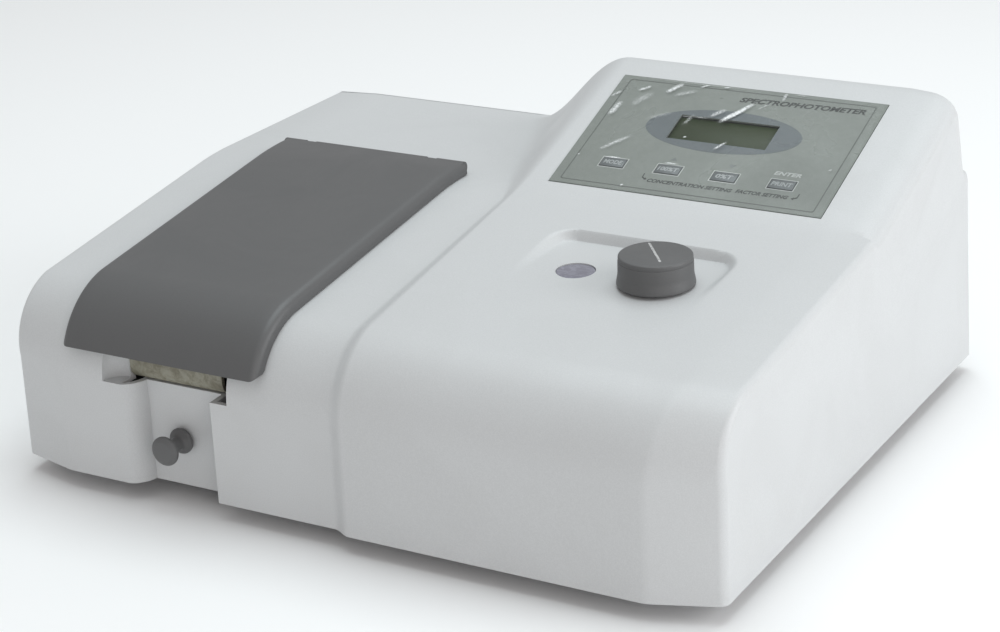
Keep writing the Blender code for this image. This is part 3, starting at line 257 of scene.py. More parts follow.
CERAMIC = plastic("ceramic", (0.72, 0.69, 0.62), (0.62, 0.58, 0.5), 0.35, 0.6, 0.6, 900.0, 0.15)
BOARD = plastic("circuit_board", (0.02, 0.13, 0.05), (0.03, 0.19, 0.08), 0.3, 0.45, 1.0, 500.0, 0.25)
OVERLAY = plastic("overlay_film", (0.195, 0.214, 0.194), (0.165, 0.181, 0.165),
                  0.25, 0.4, 0.8, 300.0, 0.05)
OVAL_INK = plastic("oval_ink", (0.098, 0.116, 0.124), (0.082, 0.098, 0.106), 0.25, 0.4, 0.8, 400.0, 0.05)
KEY_FILM = plastic("key_film", (0.118, 0.132, 0.135), (0.10, 0.112, 0.115), 0.25, 0.4, 0.6, 700.0, 0.10)
DARK_INK = ink("dark_ink", (0.025, 0.028, 0.025), (0.05, 0.055, 0.05))
LINE_INK = ink("border_ink", (0.085, 0.095, 0.085), (0.12, 0.13, 0.12))
PALE_INK = ink("pale_ink", (0.5, 0.52, 0.5), (0.36, 0.38, 0.37))
LABEL_INK = ink("label_ink", (0.36, 0.38, 0.38), (0.28, 0.30, 0.30))
MID_INK = ink("mid_ink", (0.14, 0.155, 0.15), (0.18, 0.2, 0.19))
MARK_INK = plastic("worn_mark_ink", (0.62, 0.62, 0.61), (0.2, 0.2, 0.2),
                   0.4, 0.6, 1.0, 1500.0, 0.1, 900.0)
DISPLAY = plastic("display_glass", (0.032, 0.045, 0.017), (0.024, 0.036, 0.013), 0.3, 0.4, 0.9, 500.0, 0.02,
                  **{"Specular IOR Level": 0.2})
WINDOW = plastic("window_lens", (0.16, 0.16, 0.21), (0.24, 0.24, 0.30), 0.08, 0.2, 1.0, 900.0, 0.05, 260.0,
                 **{"Coat Weight": 0.7, "Coat Roughness": 0.05})
STEEL = metal("rolled_steel", (0.58, 0.58, 0.59), (0.42, 0.42, 0.43), 0.3, 0.45)
ALUMINIUM = metal("milled_aluminium", (0.76, 0.76, 0.77), (0.62, 0.62, 0.63), 0.24, 0.4)
CHROME = metal("bright_plating", (0.82, 0.83, 0.85), (0.7, 0.71, 0.73),
               0.08, 0.18, (300.0, 300.0, 300.0), 0.02)
BRASS = metal("turned_brass", (0.78, 0.57, 0.27), (0.6, 0.42, 0.18), 0.2, 0.36, (500.0, 40.0, 500.0))
COPPER = metal("copper_winding", (0.6, 0.27, 0.12), (0.35, 0.13, 0.05),
               0.25, 0.45, (60.0, 60.0, 1400.0), 0.5)
MIRROR = metal("mirror_coat", (0.88, 0.89, 0.91), (0.84, 0.85, 0.87),
               0.02, 0.05, (90.0, 90.0, 90.0), 0.01)


def clear_glass(name, tint, roughness):
    return plastic(name, tint, [channel * 0.96 for channel in tint], roughness, roughness + 0.05, 0.4, 900.0,
                   0.01, **{"Transmission Weight": 1.0, "IOR": 1.47})


GLASS = clear_glass("clear_glass", (0.93, 0.96, 0.97), 0.02)
LENS = clear_glass("ground_lens", (0.9, 0.94, 0.95), 0.03)


# ---- making pieces ----
UNTURNED = Matrix.Identity(4)
SAME_POINT_MM = 0.0005
SHARP_DEG = 35.0


def add_to_scene(name, data):
    made = bpy.data.objects.new(name, data)
    bpy.context.scene.collection.objects.link(made)
    return made


def shade(mesh, degrees):
    """Smooth shading that keeps an edge where the surface turns by more than the angle."""
    if degrees is not None:
        mesh.shade_smooth()
        mesh.set_sharp_from_angle(angle=math.radians(degrees))


def mesh_object(name, bm, finishes, smooth):
    mesh = bpy.data.meshes.new(name)
    bm.to_mesh(mesh)
    bm.free()
    for finish in finishes:
        mesh.materials.append(finish)
    shade(mesh, smooth)
    return add_to_scene(name, mesh)


def to_object(name, bm, finish, placed=UNTURNED, smooth=None):
    """Turn a closed millimetre bmesh into an object whose place is in its mesh."""
    bmesh.ops.remove_doubles(bm, verts=bm.verts, dist=SAME_POINT_MM)
    bmesh.ops.recalc_face_normals(bm, faces=bm.faces)
    bmesh.ops.transform(bm, matrix=TO_MODEL @ placed, verts=bm.verts)
    return mesh_object(name, bm, [finish] if finish else [], smooth)


def bridge(bm, rows, round_ring=False, round_rows=False):
    """Fill between neighbouring rows of points; a row, and the set of rows, may close on itself."""
    for first, second in zip(rows, rows[1:] + (rows[:1] if round_rows else [])):
        for k in range(len(first) if round_ring else len(first) - 1):
            after = (k + 1) % len(first)
            bm.faces.new((first[k], first[after], second[after], second[k]))


def close_sheets(bm, bottom, top):
    """Fill two sheets of points, and the rim between them."""
    bridge(bm, bottom)
    bridge(bm, top)
    last_row, last = len(top) - 1, len(top[0]) - 1
    rim = [(0, i) for i in range(last)] + [(j, last) for j in range(last_row)]
    rim += [(last_row, i) for i in range(last, 0, -1)] + [(j, 0) for j in range(last_row, 0, -1)]
    for (a, b), (c, d) in zip(rim, rim[1:] + rim[:1]):
        bm.faces.new((bottom[a][b], bottom[c][d], top[c][d], top[a][b]))


def add_modifier(piece, kind, **settings):
    made = piece.modifiers.new(kind.lower(), kind)
    for name, value in settings.items():
        setattr(made, name, value)
    return made


def baked(piece, smooth=None):
    """Apply the piece's modifiers, so that what is left is one plain mesh."""
    graph = bpy.context.evaluated_depsgraph_get()
    mesh = bpy.data.meshes.new_from_object(piece.evaluated_get(graph), preserve_all_data_layers=True,
                                           depsgraph=graph)
    piece.modifiers.clear()
    old = piece.data
    piece.data = mesh
    bpy.data.meshes.remove(old)
    shade(mesh, smooth)
    return piece


def rounded(piece, width, segments):
    add_modifier(piece, "BEVEL", width=width * MM, segments=segments, limit_method="ANGLE",
                 angle_limit=math.radians(SHARP_DEG), harden_normals=False)
    return baked(piece, SHARP_DEG)


def cut_away(piece, cutters, operation="DIFFERENCE", smooth=None):
    """Cut (or join) other solids, then remove them."""
    for cutter in cutters:
        add_modifier(piece, "BOOLEAN", object=cutter, operation=operation, solver="MANIFOLD")
    baked(piece, smooth)
    for cutter in cutters:
        bpy.data.objects.remove(cutter, do_unlink=True)
    return piece


def join(pieces, name, smooth=None):
    """Several solids as one object with one mesh; they keep their own finishes."""
    bm = bmesh.new()
    finishes = []
    for piece in pieces:
        before = len(bm.faces)
        bm.from_mesh(piece.data)
        bm.faces.ensure_lookup_table()
        slots = [finishes.index(m) if m in finishes else finishes.append(m) or len(finishes) - 1
                 for m in piece.data.materials]
        for face in bm.faces[before:]:
            face.material_index = slots[face.material_index]
        bpy.data.objects.remove(piece, do_unlink=True)
    return mesh_object(name, bm, finishes, smooth)


def settle(piece, body, slot, *replaced):
    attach(piece, body)
    if replaced:
        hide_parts(*replaced)
    return piece


def box_piece(name, low, high, finish=None, placed=UNTURNED):
    bm = bmesh.new()
    low, high = Vector(low), Vector(high)
    bmesh.ops.create_cube(bm, size=1.0)
    bmesh.ops.scale(bm, vec=high - low, verts=bm.verts)
    bmesh.ops.translate(bm, vec=(low + high) / 2, verts=bm.verts)
    return to_object(name, bm, finish, placed)


AXES = {"Z": UNTURNED, "X": Matrix.Rotation(math.pi / 2, 4, "Y"),
        "Y": Matrix.Rotation(-math.pi / 2, 4, "X")}


def rod(name, start, length, radius, axis, finish=None, sides=32, placed=UNTURNED):
    bm = bmesh.new()
    bmesh.ops.create_cone(bm, cap_ends=True, segments=sides, radius1=radius, radius2=radius, depth=length)
    bmesh.ops.translate(bm, vec=(0.0, 0.0, length / 2), verts=bm.verts)
    return to_object(name, bm, finish, placed @ Matrix.Translation(start) @ AXES[axis], SHARP_DEG)


def lathe(name, profile, finish, at, axis="Z", sides=48):
    """Turn a closed profile of (radius, height) about the axis."""
    bm = bmesh.new()
    rings = []
    for radius, height in profile:
        if radius < 1e-6:
            rings.append([bm.verts.new((0.0, 0.0, height))])
            continue
        rings.append([bm.verts.new((radius * math.cos(math.tau * k / sides),
                                    radius * math.sin(math.tau * k / sides), height)) for k in range(sides)])
    pairs = list(zip(rings, rings[1:]))
    if len(rings[0]) > 1:
        pairs.append((rings[-1], rings[0]))
    for first, second in pairs:
        for k in range(sides):
            after = (k + 1) % sides
            corners = [first[k % len(first)], first[after % len(first)], second[after % len(second)],
                       second[k % len(second)]]
            corners = [v for i, v in enumerate(corners) if v not in corners[:i]]
            if len(corners) > 2:
                bm.faces.new(corners)
    return to_object(name, bm, finish, Matrix.Translation(at) @ AXES[axis], SHARP_DEG)


def prism(name, outline, low, high, along, finish=None, placed=UNTURNED, smooth=None):
    lift = {"Z": lambda p, h: (p[0], p[1], h), "X": lambda p, h: (h, p[0], p[1]),
            "Y": lambda p, h: (p[0], h, p[1])}[along]
    bm = bmesh.new()
    bottom = [bm.verts.new(lift(p, low)) for p in outline]
    top = [bm.verts.new(lift(p, high)) for p in outline]
    bm.faces.new(bottom)
    bm.faces.new(list(reversed(top)))
    for k in range(len(outline)):
        after = (k + 1) % len(outline)
        bm.faces.new((bottom[k], top[k], top[after], bottom[after]))
    return to_object(name, bm, finish, placed, smooth)


def ring_prism(name, outer, inner, low, high, finish, placed):
    """A flat ring between two outlines with the same number of points."""
    bm = bmesh.new()
    loops = [[bm.verts.new((x, y, z)) for x, y in outline]
             for outline, z in ((outer, low), (outer, high), (inner, high), (inner, low))]
    bridge(bm, loops, True, True)
    return to_object(name, bm, finish, placed)


def span(middle, size):
    return middle - size / 2, middle + size / 2


def rounded_rectangle(x0, x1, y0, y1, radii, steps=6):
    """Corner radii run rear right, rear left, front left, front right."""
    corners = ((x1, y1, -1, -1), (x0, y1, 1, -1), (x0, y0, 1, 1), (x1, y0, -1, 1))
    points = []
    for quarter, ((x, y, sx, sy), radius) in enumerate(zip(corners, radii)):
        cx, cy = x + sx * radius, y + sy * radius
        for step in range(steps + 1):
            angle = math.pi / 2 * (quarter + step / steps)
            points.append((cx + radius * math.cos(angle), cy + radius * math.sin(angle)))
    return points


INK_LIFT = 0.05
LETTER_SIZE = 1.38        # font size for capitals one unit tall


def lettering(name, words, at, size, finish, bold, lean, base, tilt=0.0):
    """Printed words as a thin closed mesh on the panel: at is their middle, size (width, height)."""
    curve = bpy.data.curves.new(name, "FONT")
    curve.body = words
    curve.size = size[1] * LETTER_SIZE
    curve.align_x = "CENTER"
    curve.offset = bold
    curve.shear = lean
    curve.extrude = INK_LIFT / 2
    curve.resolution_u = 3
    made = add_to_scene(name, curve)
    graph = bpy.context.evaluated_depsgraph_get()
    mesh = bpy.data.meshes.new_from_object(made.evaluated_get(graph))
    bpy.data.objects.remove(made, do_unlink=True)
    bm = bmesh.new()
    bm.from_mesh(mesh)
    low = Vector((min(v.co.x for v in bm.verts), min(v.co.y for v in bm.verts), 0.0))
    high = Vector((max(v.co.x for v in bm.verts), max(v.co.y for v in bm.verts), 0.0))
    bmesh.ops.translate(bm, vec=-(low + high) / 2, verts=bm.verts)
    bmesh.ops.scale(bm, vec=(size[0] / (high.x - low.x), 1.0, 1.0), verts=bm.verts)
    turn = Matrix.Translation((*at, base + INK_LIFT / 2)) @ Matrix.Rotation(math.radians(tilt), 4, "Z")
    return to_object(name, bm, finish, PANEL @ turn)


# ---- the casing's sections ----
def blend(low, high, amount):
    return low + (high - low) * min(1.0, max(0.0, amount))


def smooth_step(value):
    value = min(1.0, max(0.0, value))
    return value * value * (3 - 2 * value)


def console_z(y):
    return PANEL_AT[2] + (y - PANEL_AT[1]) * math.tan(math.radians(CONSOLE_DEG))


def left_slope_z(y):
    return LEFT_Z60 + (y - 60.0) * LEFT_SLOPE


def right_slope_z(y):
    return RIGHT_Z60 + (y - 60.0) * RIGHT_SLOPE


def plateau_z(y):
    return left_slope_z(KINK_L) - (y - KINK_L) * PLATEAU_FALL


def brow(front_y, slope, line, steps, grow=0.0, start_deg=0.0):
    """The round-over between the front face and the sloping top."""
    tilt = math.degrees(math.atan(slope))
    cy = front_y + BROW_R
    cz = line(cy) - BROW_R * math.hypot(1.0, slope)
    radius = BROW_R + grow
    points = []
    for step in range(steps + 1):
        angle = math.radians(blend(start_deg, 90.0 - tilt, step / steps))
        points.append(Vector((cy - radius * math.cos(angle), cz + radius * math.sin(angle))))
    return points


def soft_corner(before, corner, after, reach, steps):
    corner = Vector(corner)
    start = corner + (Vector(before) - corner).normalized() * reach
    end = corner + (Vector(after) - corner).normalized() * reach
    return [start * (1 - t) ** 2 + corner * (2 * t * (1 - t)) + end * t ** 2
            for t in (step / steps for step in range(steps + 1))]


def facing_in(start, end):
    along = (Vector(end) - Vector(start)).normalized()
    return Vector((along.y, -along.x))


def mitre(first, second):
    return (first + second) / (1.0 + first.dot(second))


def with_move(points, move):
    return [(Vector(point), move) for point in points]


def front_stations(front_y, slope, line, fine):
    stations = with_move([(front_y, z) for z in ((0.0, 18.0, 36.0, 54.0) if fine else (0.0, 30.0))],
                         Vector((1.0, 0.0)))
    centre = Vector((front_y + BROW_R, line(front_y + BROW_R) - BROW_R * math.hypot(1.0, slope)))
    stations += [(point, (centre - point).normalized())
                 for point in brow(front_y, slope, line, 24 if fine else 8)]
    ys = [50.0 + 3.0 * k for k in range(36)] + [157.0 + 0.9 * k for k in range(14)] if fine else [105.0]
    return stations + with_move([(y, line(y)) for y in ys], stations[-1][1])


def right_section(fine):
    tan_console = math.tan(math.radians(CONSOLE_DEG))
    kink_y = (PANEL_AT[2] - PANEL_AT[1] * tan_console - RIGHT_Z60 + 60.0 * RIGHT_SLOPE) / (
        RIGHT_SLOPE - tan_console)
    near, kink = (60.0, right_slope_z(60.0)), (kink_y, console_z(kink_y))
    foot = (FOOT_OF_CONSOLE_Y, plateau_z(FOOT_OF_CONSOLE_Y))
    shoulder, rim = (SHOULDER_Y, plateau_z(SHOULDER_Y)), (REAR_Y, 0.0)
    on_slope, on_console = facing_in(near, kink), facing_in(kink, CROWN)
    on_wall, on_ledge, on_rear = facing_in(CROWN, foot), facing_in(foot, shoulder), facing_in(shoulder, rim)
    stations = front_stations(-RIGHT_STEP, RIGHT_SLOPE, right_slope_z, fine)
    stations += with_move(soft_corner(near, kink, CROWN, 14.0, 8 if fine else 3),
                          mitre(on_slope, on_console))
    shares = [0.14 + 0.07 * k for k in range(11)] if fine else (0.37, 0.65)
    console_ys = [blend(kink_y, CROWN[0], share) for share in shares]
    stations += with_move([(y, console_z(y)) for y in console_ys], on_console)
    stations += with_move(soft_corner(kink, CROWN, foot, CROWN_R * 1.3, 12 if fine else 5),
                          mitre(on_console, on_wall))
    stations += with_move(soft_corner(CROWN, foot, shoulder, 4.0, 5 if fine else 2),
                          mitre(on_wall, on_ledge))
    stations += with_move(soft_corner(foot, shoulder, rim, SHOULDER_R, 8 if fine else 3),
                          mitre(on_ledge, on_rear))
    rear_zs = (90.0, 60.0, 30.0) if fine else (60.0,)
    rear = [(blend(SHOULDER_Y, REAR_Y, 1 - z / 120.0), z) for z in rear_zs]
    return stations + with_move(rear + [rim], on_rear)


def left_section(right, fine):
    kink, shoulder = (KINK_L, left_slope_z(KINK_L)), (SHOULDER_Y, plateau_z(SHOULDER_Y))
    rear_count = 13 if fine else 6
    stations = front_stations(0.0, LEFT_SLOPE, left_slope_z, fine)
    on_plateau = facing_in(kink, shoulder)
    bend = soft_corner((60.0, left_slope_z(60.0)), kink, shoulder, 14.0, 8 if fine else 3)
    stations += with_move(bend, mitre(stations[-1][1], on_plateau))
    for point, move in right[len(stations):len(right) - rear_count]:
        stations.append((Vector((max(point.x, stations[-1][0].x + 0.01), plateau_z(point.x))), on_plateau))
    return stations + right[len(stations):]


def ridge_span(y):
    """Where the rise between the two halves starts and ends, across the width."""
    front = y / RIDGE_KINK_Y
    back = (y - RIDGE_KINK_Y) / (CROWN[0] - RIDGE_KINK_Y)
    start = blend(215.5, 213.0, front) + blend(0.0, -59.0, back)
    return start, blend(228.0, 220.0, front) + blend(0.0, 9.0, back)


def bay_depth(x, y):
    """How far the knob's bay lowers the sloping top here."""
    side = 0 if x < BAY_MIDDLE_X else 1
    wall, radius = BAY_WALLS[side], BAY_RADII[side]
    inner_x, inner_y = min(x - BAY_X[0], BAY_X[1] - x), BAY_REAR_Y - y
    share = min(inner_x / wall, inner_y / BAY_REAR_WALL)
    if inner_x < radius and inner_y < radius:
        away = math.hypot(radius - inner_x, radius - inner_y)
        turn = (radius - inner_y) / max(away, 1e-6)
        share = (radius - away) / blend(wall, BAY_REAR_WALL, turn ** 2)
    drop = right_slope_z(y) - BAY_FLOOR
    drop = 0.5 * (drop + math.hypot(drop, 1.0)) - 0.04
    return drop * smooth_step(share) * smooth_step((y - BAY_FADE_Y) / 10.0)


def edge_plans(section, side, front_share, inset, fine):
    """Rows of a side's rounded edge: each station's reach in from the side, and its drop."""
    rounds = [RAISED_ROUND if side > 0 and point.y > plateau_z(KINK_L) + 4.0 else SIDE_ROUND
              for point, move in section]
    crease = [blend(30.0, 38.0, share) for share in front_share]
    chamfer = RIGHT_CHAMFER if side > 0 else LEFT_CHAMFER
    depth = [blend(TOP_CHAMFER, chamfer, share) for share in front_share]
    quarter = [1 - math.cos(math.pi / 2 * k / 8) for k in range(9)]
    plans = []
    for part in quarter if fine else (0.0, 0.06, 0.25, 0.55, 1.0):
        fall = 1 - math.sqrt(max(0.0, 1 - (1 - part) ** 2))
        plans.append([(part * reach, high * fall + deep * (1 - part * reach / edge))
                      for (reach, high), deep, edge in zip(rounds, depth, crease)])
    for offset in (k * CREASE_SOFT / 2 for k in range(-2, 3)) if fine else ():
        soft = (CREASE_SOFT - offset) ** 2 / (4 * CREASE_SOFT)
        plans.append([(edge + offset, deep * soft / edge) for deep, edge in zip(depth, crease)])
    if not fine:
        plans.append([(edge, 0.0) for edge in crease])
    return plans + [[(FLAT_X - inset, 0.0)] * len(section)]


def casing_loft(name, inset, finish, fine):
    """The casing's outside as a closed loft across its width; inset makes the hollow."""
    right = right_section(fine)
    left = left_section(right, fine)
    last = len(right) - 1
    brow_steps = 24 if fine else 8
    front_share = [1.0] * (4 if fine else 2) + [1.0 - step / brow_steps for step in range(brow_steps + 1)]
    front_share += [0.0] * (len(right) - len(front_share))
    level = [0.0] * len(right)
    bm = bmesh.new()
    rows = []

    def add_row(xs, share, drops=level):
        row = []
        for index, x in enumerate(xs):
            start, end = left[index], right[index]
            move = start[1].lerp(end[1], share) * (inset + drops[index])
            point = start[0].lerp(end[0], share) + move
            z = (0.0 if inset == 0 else -6.0) if index in (0, last) else min(point.y, CROWN_TOP)
            if fine and share == 1.0 and drops[index] == 0.0 and 96.0 < point.x < 182.0:
                z -= bay_depth(x, point.x)
            lean = SIDE_DRAFT * max(z, 0.0)
            x += lean * max(0.0, 1 - x / FLAT_X) - lean * max(0.0, 1 - (WIDTH - x) / FLAT_X)
            row.append(bm.verts.new((x, point.x, z)))
        rows.append(row)

    def add_edge(section, side):
        plans = edge_plans(section, side, front_share, inset, fine)
        for plan in plans if side < 0 else reversed(plans):
            add_row([reach + inset if side < 0 else WIDTH - reach - inset for reach, drop in plan],
                    1.0 if side > 0 else 0.0, [drop for reach, drop in plan])

    add_edge(left, -1)
    spans = [ridge_span(point.x) for point, move in right]
    for share in (0.25, 0.5, 0.75) if fine else ():
        add_row([blend(FLAT_X, low, share) for low, high in spans], 0.0)
    steps = 22 if fine else 10
    for step in range(steps + 1):
        t = step / steps
        add_row([blend(low, high, t) for low, high in spans], 0.5 - 0.5 * math.cos(math.pi * t))
    x = 256.0
    while fine and x < 390.0:
        add_row([x] * len(right), 1.0)
        x += 1.2 if x < 284.0 or x > 366.0 else 3.0
    add_edge(right, 1)
    bridge(bm, rows, True)
    for row in (rows[0], list(reversed(rows[-1]))):
        hub = bm.verts.new((sum(v.co.x for v in row) / len(row), 200.0, 50.0))
        for v, after in zip(row, row[1:] + row[:1]):
            bm.faces.new((v, after, hub))
    return to_object(name, bm, finish, smooth=30)


def recess_outline(grow, back_y):
    """Plan of the front recess: hollow left wall, straight back and right walls."""
    points = [(80.0 - grow, -30.0)]
    for step in range(9):
        t = step / 8
        points.append((80.0 - grow + 9.5 * (1 - (1 - t) ** 1.6), 12.0 * t ** 1.35 * (back_y / 12.0)))
    return points + [(139.2 + grow, back_y), (140.0 + grow, back_y - 0.8), (141.0 + grow, -30.0)]


def notch_outline():
    """Plan of the finger notch, with a hollow left end."""
    points = [(NOTCH_X[0] - 1.0, -20.0), (NOTCH_X[0] - 1.0, -0.5)]
    for step in range(11):
        turn = math.pi / 2 * step / 10
        points.append((NOTCH_X[0] + 12.0 * (1 - math.cos(turn)), 11.5 * math.sin(turn)))
    return points + [(80.2, 11.5), (80.2, 16.0), (NOTCH_X[1], 16.0), (NOTCH_X[1], -20.0)]


def make_casing():
    shell = casing_loft("upper_casing_moulding", 0.0, CASING, True)
    hollow = casing_loft("hollow", SKIN, None, False)
    notch_end = box_piece("notch_end", (62.0, 1.6, NOTCH_Z[0] - 2.5), (79.0, 15.5, NOTCH_Z[1] + 3.0))
    cut_away(notch_end, [casing_loft("casing_outside", 0.6, None, True)], "INTERSECT")
    bay = rounded_rectangle(BAY_X[0] - SKIN, BAY_X[1] + SKIN, 80.0, BAY_REAR_Y + SKIN, (19.0,) * 4)
    cut_away(hollow, [prism("recess_wall", recess_outline(SKIN, 15.0), -30.0, NOTCH_Z[0], "Z"),
                      prism("bay_wall", bay, BAY_FLOOR - SKIN, 150.0, "Z")])
    cuts = [prism("recess", recess_outline(0.0, 12.0), -30.0, NOTCH_Z[0] + 1.0, "Z"),
            prism("notch", notch_outline(), NOTCH_Z[0], NOTCH_Z[1], "Z"),
            box_piece("mouth", (MOUTH_X[0], MOUTH_Y[0], 90.0), (MOUTH_X[1], MOUTH_Y[1], 150.0)),
            rod("rod_hole", (ROD_X, 5.0, ROD_Z), 15.0, 5.1, "Y"),
            rod("shaft_hole", (KNOB_X, KNOB_Y, 100.0), 30.0, 6.0, "Z"),
            rod("window_hole", (WINDOW_X, WINDOW_Y, 100.0), 15.0, WINDOW_R - 1.5, "Z", None, 48),
            rod("window_seat", (WINDOW_X, WINDOW_Y, BAY_FLOOR - 1.8), 8.0, WINDOW_R, "Z", None, 64),
            rod("shutter_hole", (SHUTTER_PIN_X, BEAM_Y, 95.0), 30.0, 2.8, "Z"),
            box_piece("rear_opening", (198.0, 346.0, 12.0), (422.0, 380.0, 96.0)),
            box_piece("panel_pocket", (-0.3, -0.3, -0.8), (PANEL_W + 0.3, PANEL_H + 0.3, 8.0), placed=PANEL),
            box_piece("panel_opening", (12.0, 12.0, -20.0), (157.0, 88.0, 8.0), placed=PANEL)]
    for x in LUG_XS:
        cuts.append(box_piece("lug_slot", (x - 3.7, HINGE_Y - 5.0, 110.0), (x + 3.7, HINGE_Y + 5.0, 135.0)))
    cut_away(shell, [hollow])
    cut_away(shell, [notch_end], "UNION")
    cut_away(shell, cuts, smooth=32)
    settle(shell, INSTRUMENT, "casing_paint", "upper_casing")


# ---- lid ----
def lid_skin(grow, lip_z, end_y):
    rise = left_slope_z(BROW_R) - BROW_R * math.hypot(1.0, LEFT_SLOPE)
    start = math.degrees(math.asin((lip_z - rise) / (BROW_R + grow)))
    points = brow(0.0, LEFT_SLOPE, left_slope_z, 26, grow, start)
    kink = (KINK_L, left_slope_z(KINK_L))
    bend = soft_corner((60.0, left_slope_z(60.0)), kink, (SHOULDER_Y, plateau_z(SHOULDER_Y)), 14.0, 8)
    points += [point + Vector((-0.06, 1.0)) * grow for point in bend if point.x < end_y - 2.0]
    return points + [Vector((end_y, plateau_z(end_y) + grow))]


def lid_slab(name, low_grow, high_grow, x0, x1, lip_z, end_y, finish, edge=0.0, corner=0.0):
    """A slab that follows the casing; edge rounds its long upper edges, corner its lower front ones."""
    stations = [(x0, 1.0)]
    if edge:
        stations = [(x0 + edge * (1 - math.cos(math.pi / 2 * k / 7)), 1 - math.sin(math.pi / 2 * k / 7))
                    for k in range(8)]
        stations.append((x0 + 2.2 * edge, 0.0))
    if not edge:
        stations = [(x0, 0.0)]
    stations += [(x0 + x1 - x, drop) for x, drop in reversed(stations)]
    bm = bmesh.new()
    rows = []
    for x, drop in stations:
        gap = min(x - x0, x1 - x)
        raised = corner - math.sqrt(max(0.0, corner ** 2 - max(0.0, corner - gap) ** 2)) if corner else 0.0
        ring = lid_skin(high_grow - edge * drop, lip_z + raised, end_y)
        ring += list(reversed(lid_skin(low_grow, lip_z + raised, end_y)))
        rows.append([bm.verts.new((x, point.x, point.y)) for point in ring])
    bridge(bm, rows, True)
    bm.faces.new(rows[0])
    bm.faces.new(list(reversed(rows[-1])))
    return to_object(name, bm, finish, smooth=40)


def make_lid():
    x0, x1 = LID_X
    lid = lid_slab("sample_lid_moulding", LID_LIFT, LID_RISE, x0, x1, LID_LIP_Z, HINGE_Y, LID_GREY, 5.0, 4.0)
    cut_away(lid, [rod("knuckle", (x0 + 2.0, HINGE_Y, HINGE_Z), x1 - x0 - 4.0, LID_END_R, "X")], "UNION")
    cuts = [lid_slab("lid_hollow", LID_LIFT - 4, LID_RISE - LID_SKIN, x0 + 3, x1 - 3, LID_LIP_Z + 5,
                     HINGE_Y - 9, None),
            rod("hinge_bore", (x0 + 6.0, HINGE_Y, HINGE_Z), x1 - x0 - 12.0, 1.8, "X")]
    for low_x, high_x in (span(x, LUG_GAP) for x in LUG_XS):
        cuts.append(box_piece("lug_gap", (low_x, HINGE_Y - 6.0, 115.0), (high_x, HINGE_Y + 6.0, 130.55)))
        cuts.append(box_piece("lug_way", (low_x, HINGE_Y - 0.4, 120.0), (high_x, HINGE_Y + 6.0, 140.0)))
    cut_away(lid, cuts, smooth=38)
    settle(lid, "lid", "grey_plastic", "sample_lid")


# ---- knobs ----
def rounded_profile(points, radius, steps=4):
    """Round every inner corner of an open profile."""
    result = [Vector(points[0])]
    for before, corner, after in zip(points, points[1:], points[2:]):
        reach = min(radius, (Vector(before) - Vector(corner)).length * 0.45,
                    (Vector(after) - Vector(corner)).length * 0.45)
        result += soft_corner(before, corner, after, reach, steps)
    return [tuple(p) for p in result + [Vector(points[-1])]]


def make_knobs():
    z = BAY_FLOOR + 0.6
    top = z + KNOB_TALL
    outside = rounded_profile([(0.0, top), (KNOB_R - 0.3, top), (KNOB_R - 0.3, top - 2.6)], 1.5)
    outside += [(KNOB_R - 0.42, top - 2.8), (KNOB_R - 0.15, top - 3.1)]
    outside += rounded_profile([(KNOB_R - 0.1, top - 4.0), (KNOB_R, z + 6.0), (KNOB_BASE_R, z + 1.4),
                                (KNOB_BASE_R, z), (KNOB_BASE_R - 3, z)], 1.3)
    inside = [(KNOB_BASE_R - 3.5, z + 9.0), (6.0, z + 9.0), (6.0, z + 1.0), (3.35, z + 1.0), (3.35, z + 13.0),
              (0.0, z + 13.0)]
    knob = lathe("wavelength_knob_body", outside + inside, KNOB_GREY, (KNOB_X, KNOB_Y, 0.0), sides=96)
    mark_turn = Matrix.Translation((KNOB_X, KNOB_Y, 0.0)) @ Matrix.Rotation(math.radians(MARK_DEG), 4, "Z")
    line = rounded_rectangle(-0.65, 0.65, -12.5, 17.2, (0.6,) * 4)
    mark = prism("index_mark", line, top - 0.04, top + 0.05, "Z", MARK_INK, mark_turn)
    settle(join([knob, mark], "wavelength_knob_turned", SHARP_DEG), "wavelength_drive", "grey_plastic",
           "wavelength_knob")
    outer = rounded_profile([(0.0, 0.0), (6.0, 0.25), (8.5, 1.6), (8.4, 3.9), (5.6, 5.2), (3.9, 7.2),
                             (3.9, 14.2), (5.4, 15.4), (7.5, 16.4), (7.5, 18.4), (5.4, 20.0), (3.35, 20.0)],
                            0.8)
    profile = outer + [(3.35, 6.0), (0.0, 6.0)]
    settle(lathe("pull_knob_spool", profile, KNOB_GREY, (ROD_X, -PULL_REACH, ROD_Z), "Y", 72),
           "cell_carriage_body", "grey_plastic", "pull_knob")


# ---- console panel ----
KEYS = {"key_mode": (31.0, "MODE"), "key_full_scale": (66.2, "100%T"), "key_zero": (101.4, "0%T"),
        "key_print": (136.6, "PRINT")}
KEY_V, KEY_W, KEY_H = 23.3, 15.0, 8.0
KEY_WORDS_W = {3: 10.6, 4: 11.6, 5: 12.6}
LCD_U, LCD_V = (52.0, 114.5), (51.8, 74.8)
OVERLAY_TOP, KEY_TOP = 0.4, 0.9
PRINT_W = OVERLAY_TOP + 0.01
OVAL = (49.0, 19.8)
BORDER_U, BORDER_V, BORDER_LINE, KEY_LINE = 5.6, 3.4, 0.75, 0.55
HOOK = ((0.0, 17.4), (0.7, 17.4), (0.8, 14.4), (2.2, 13.2), (2.2, 14.0), (3.8, 12.6), (2.2, 11.6),
        (2.2, 12.3), (0.2, 13.6))
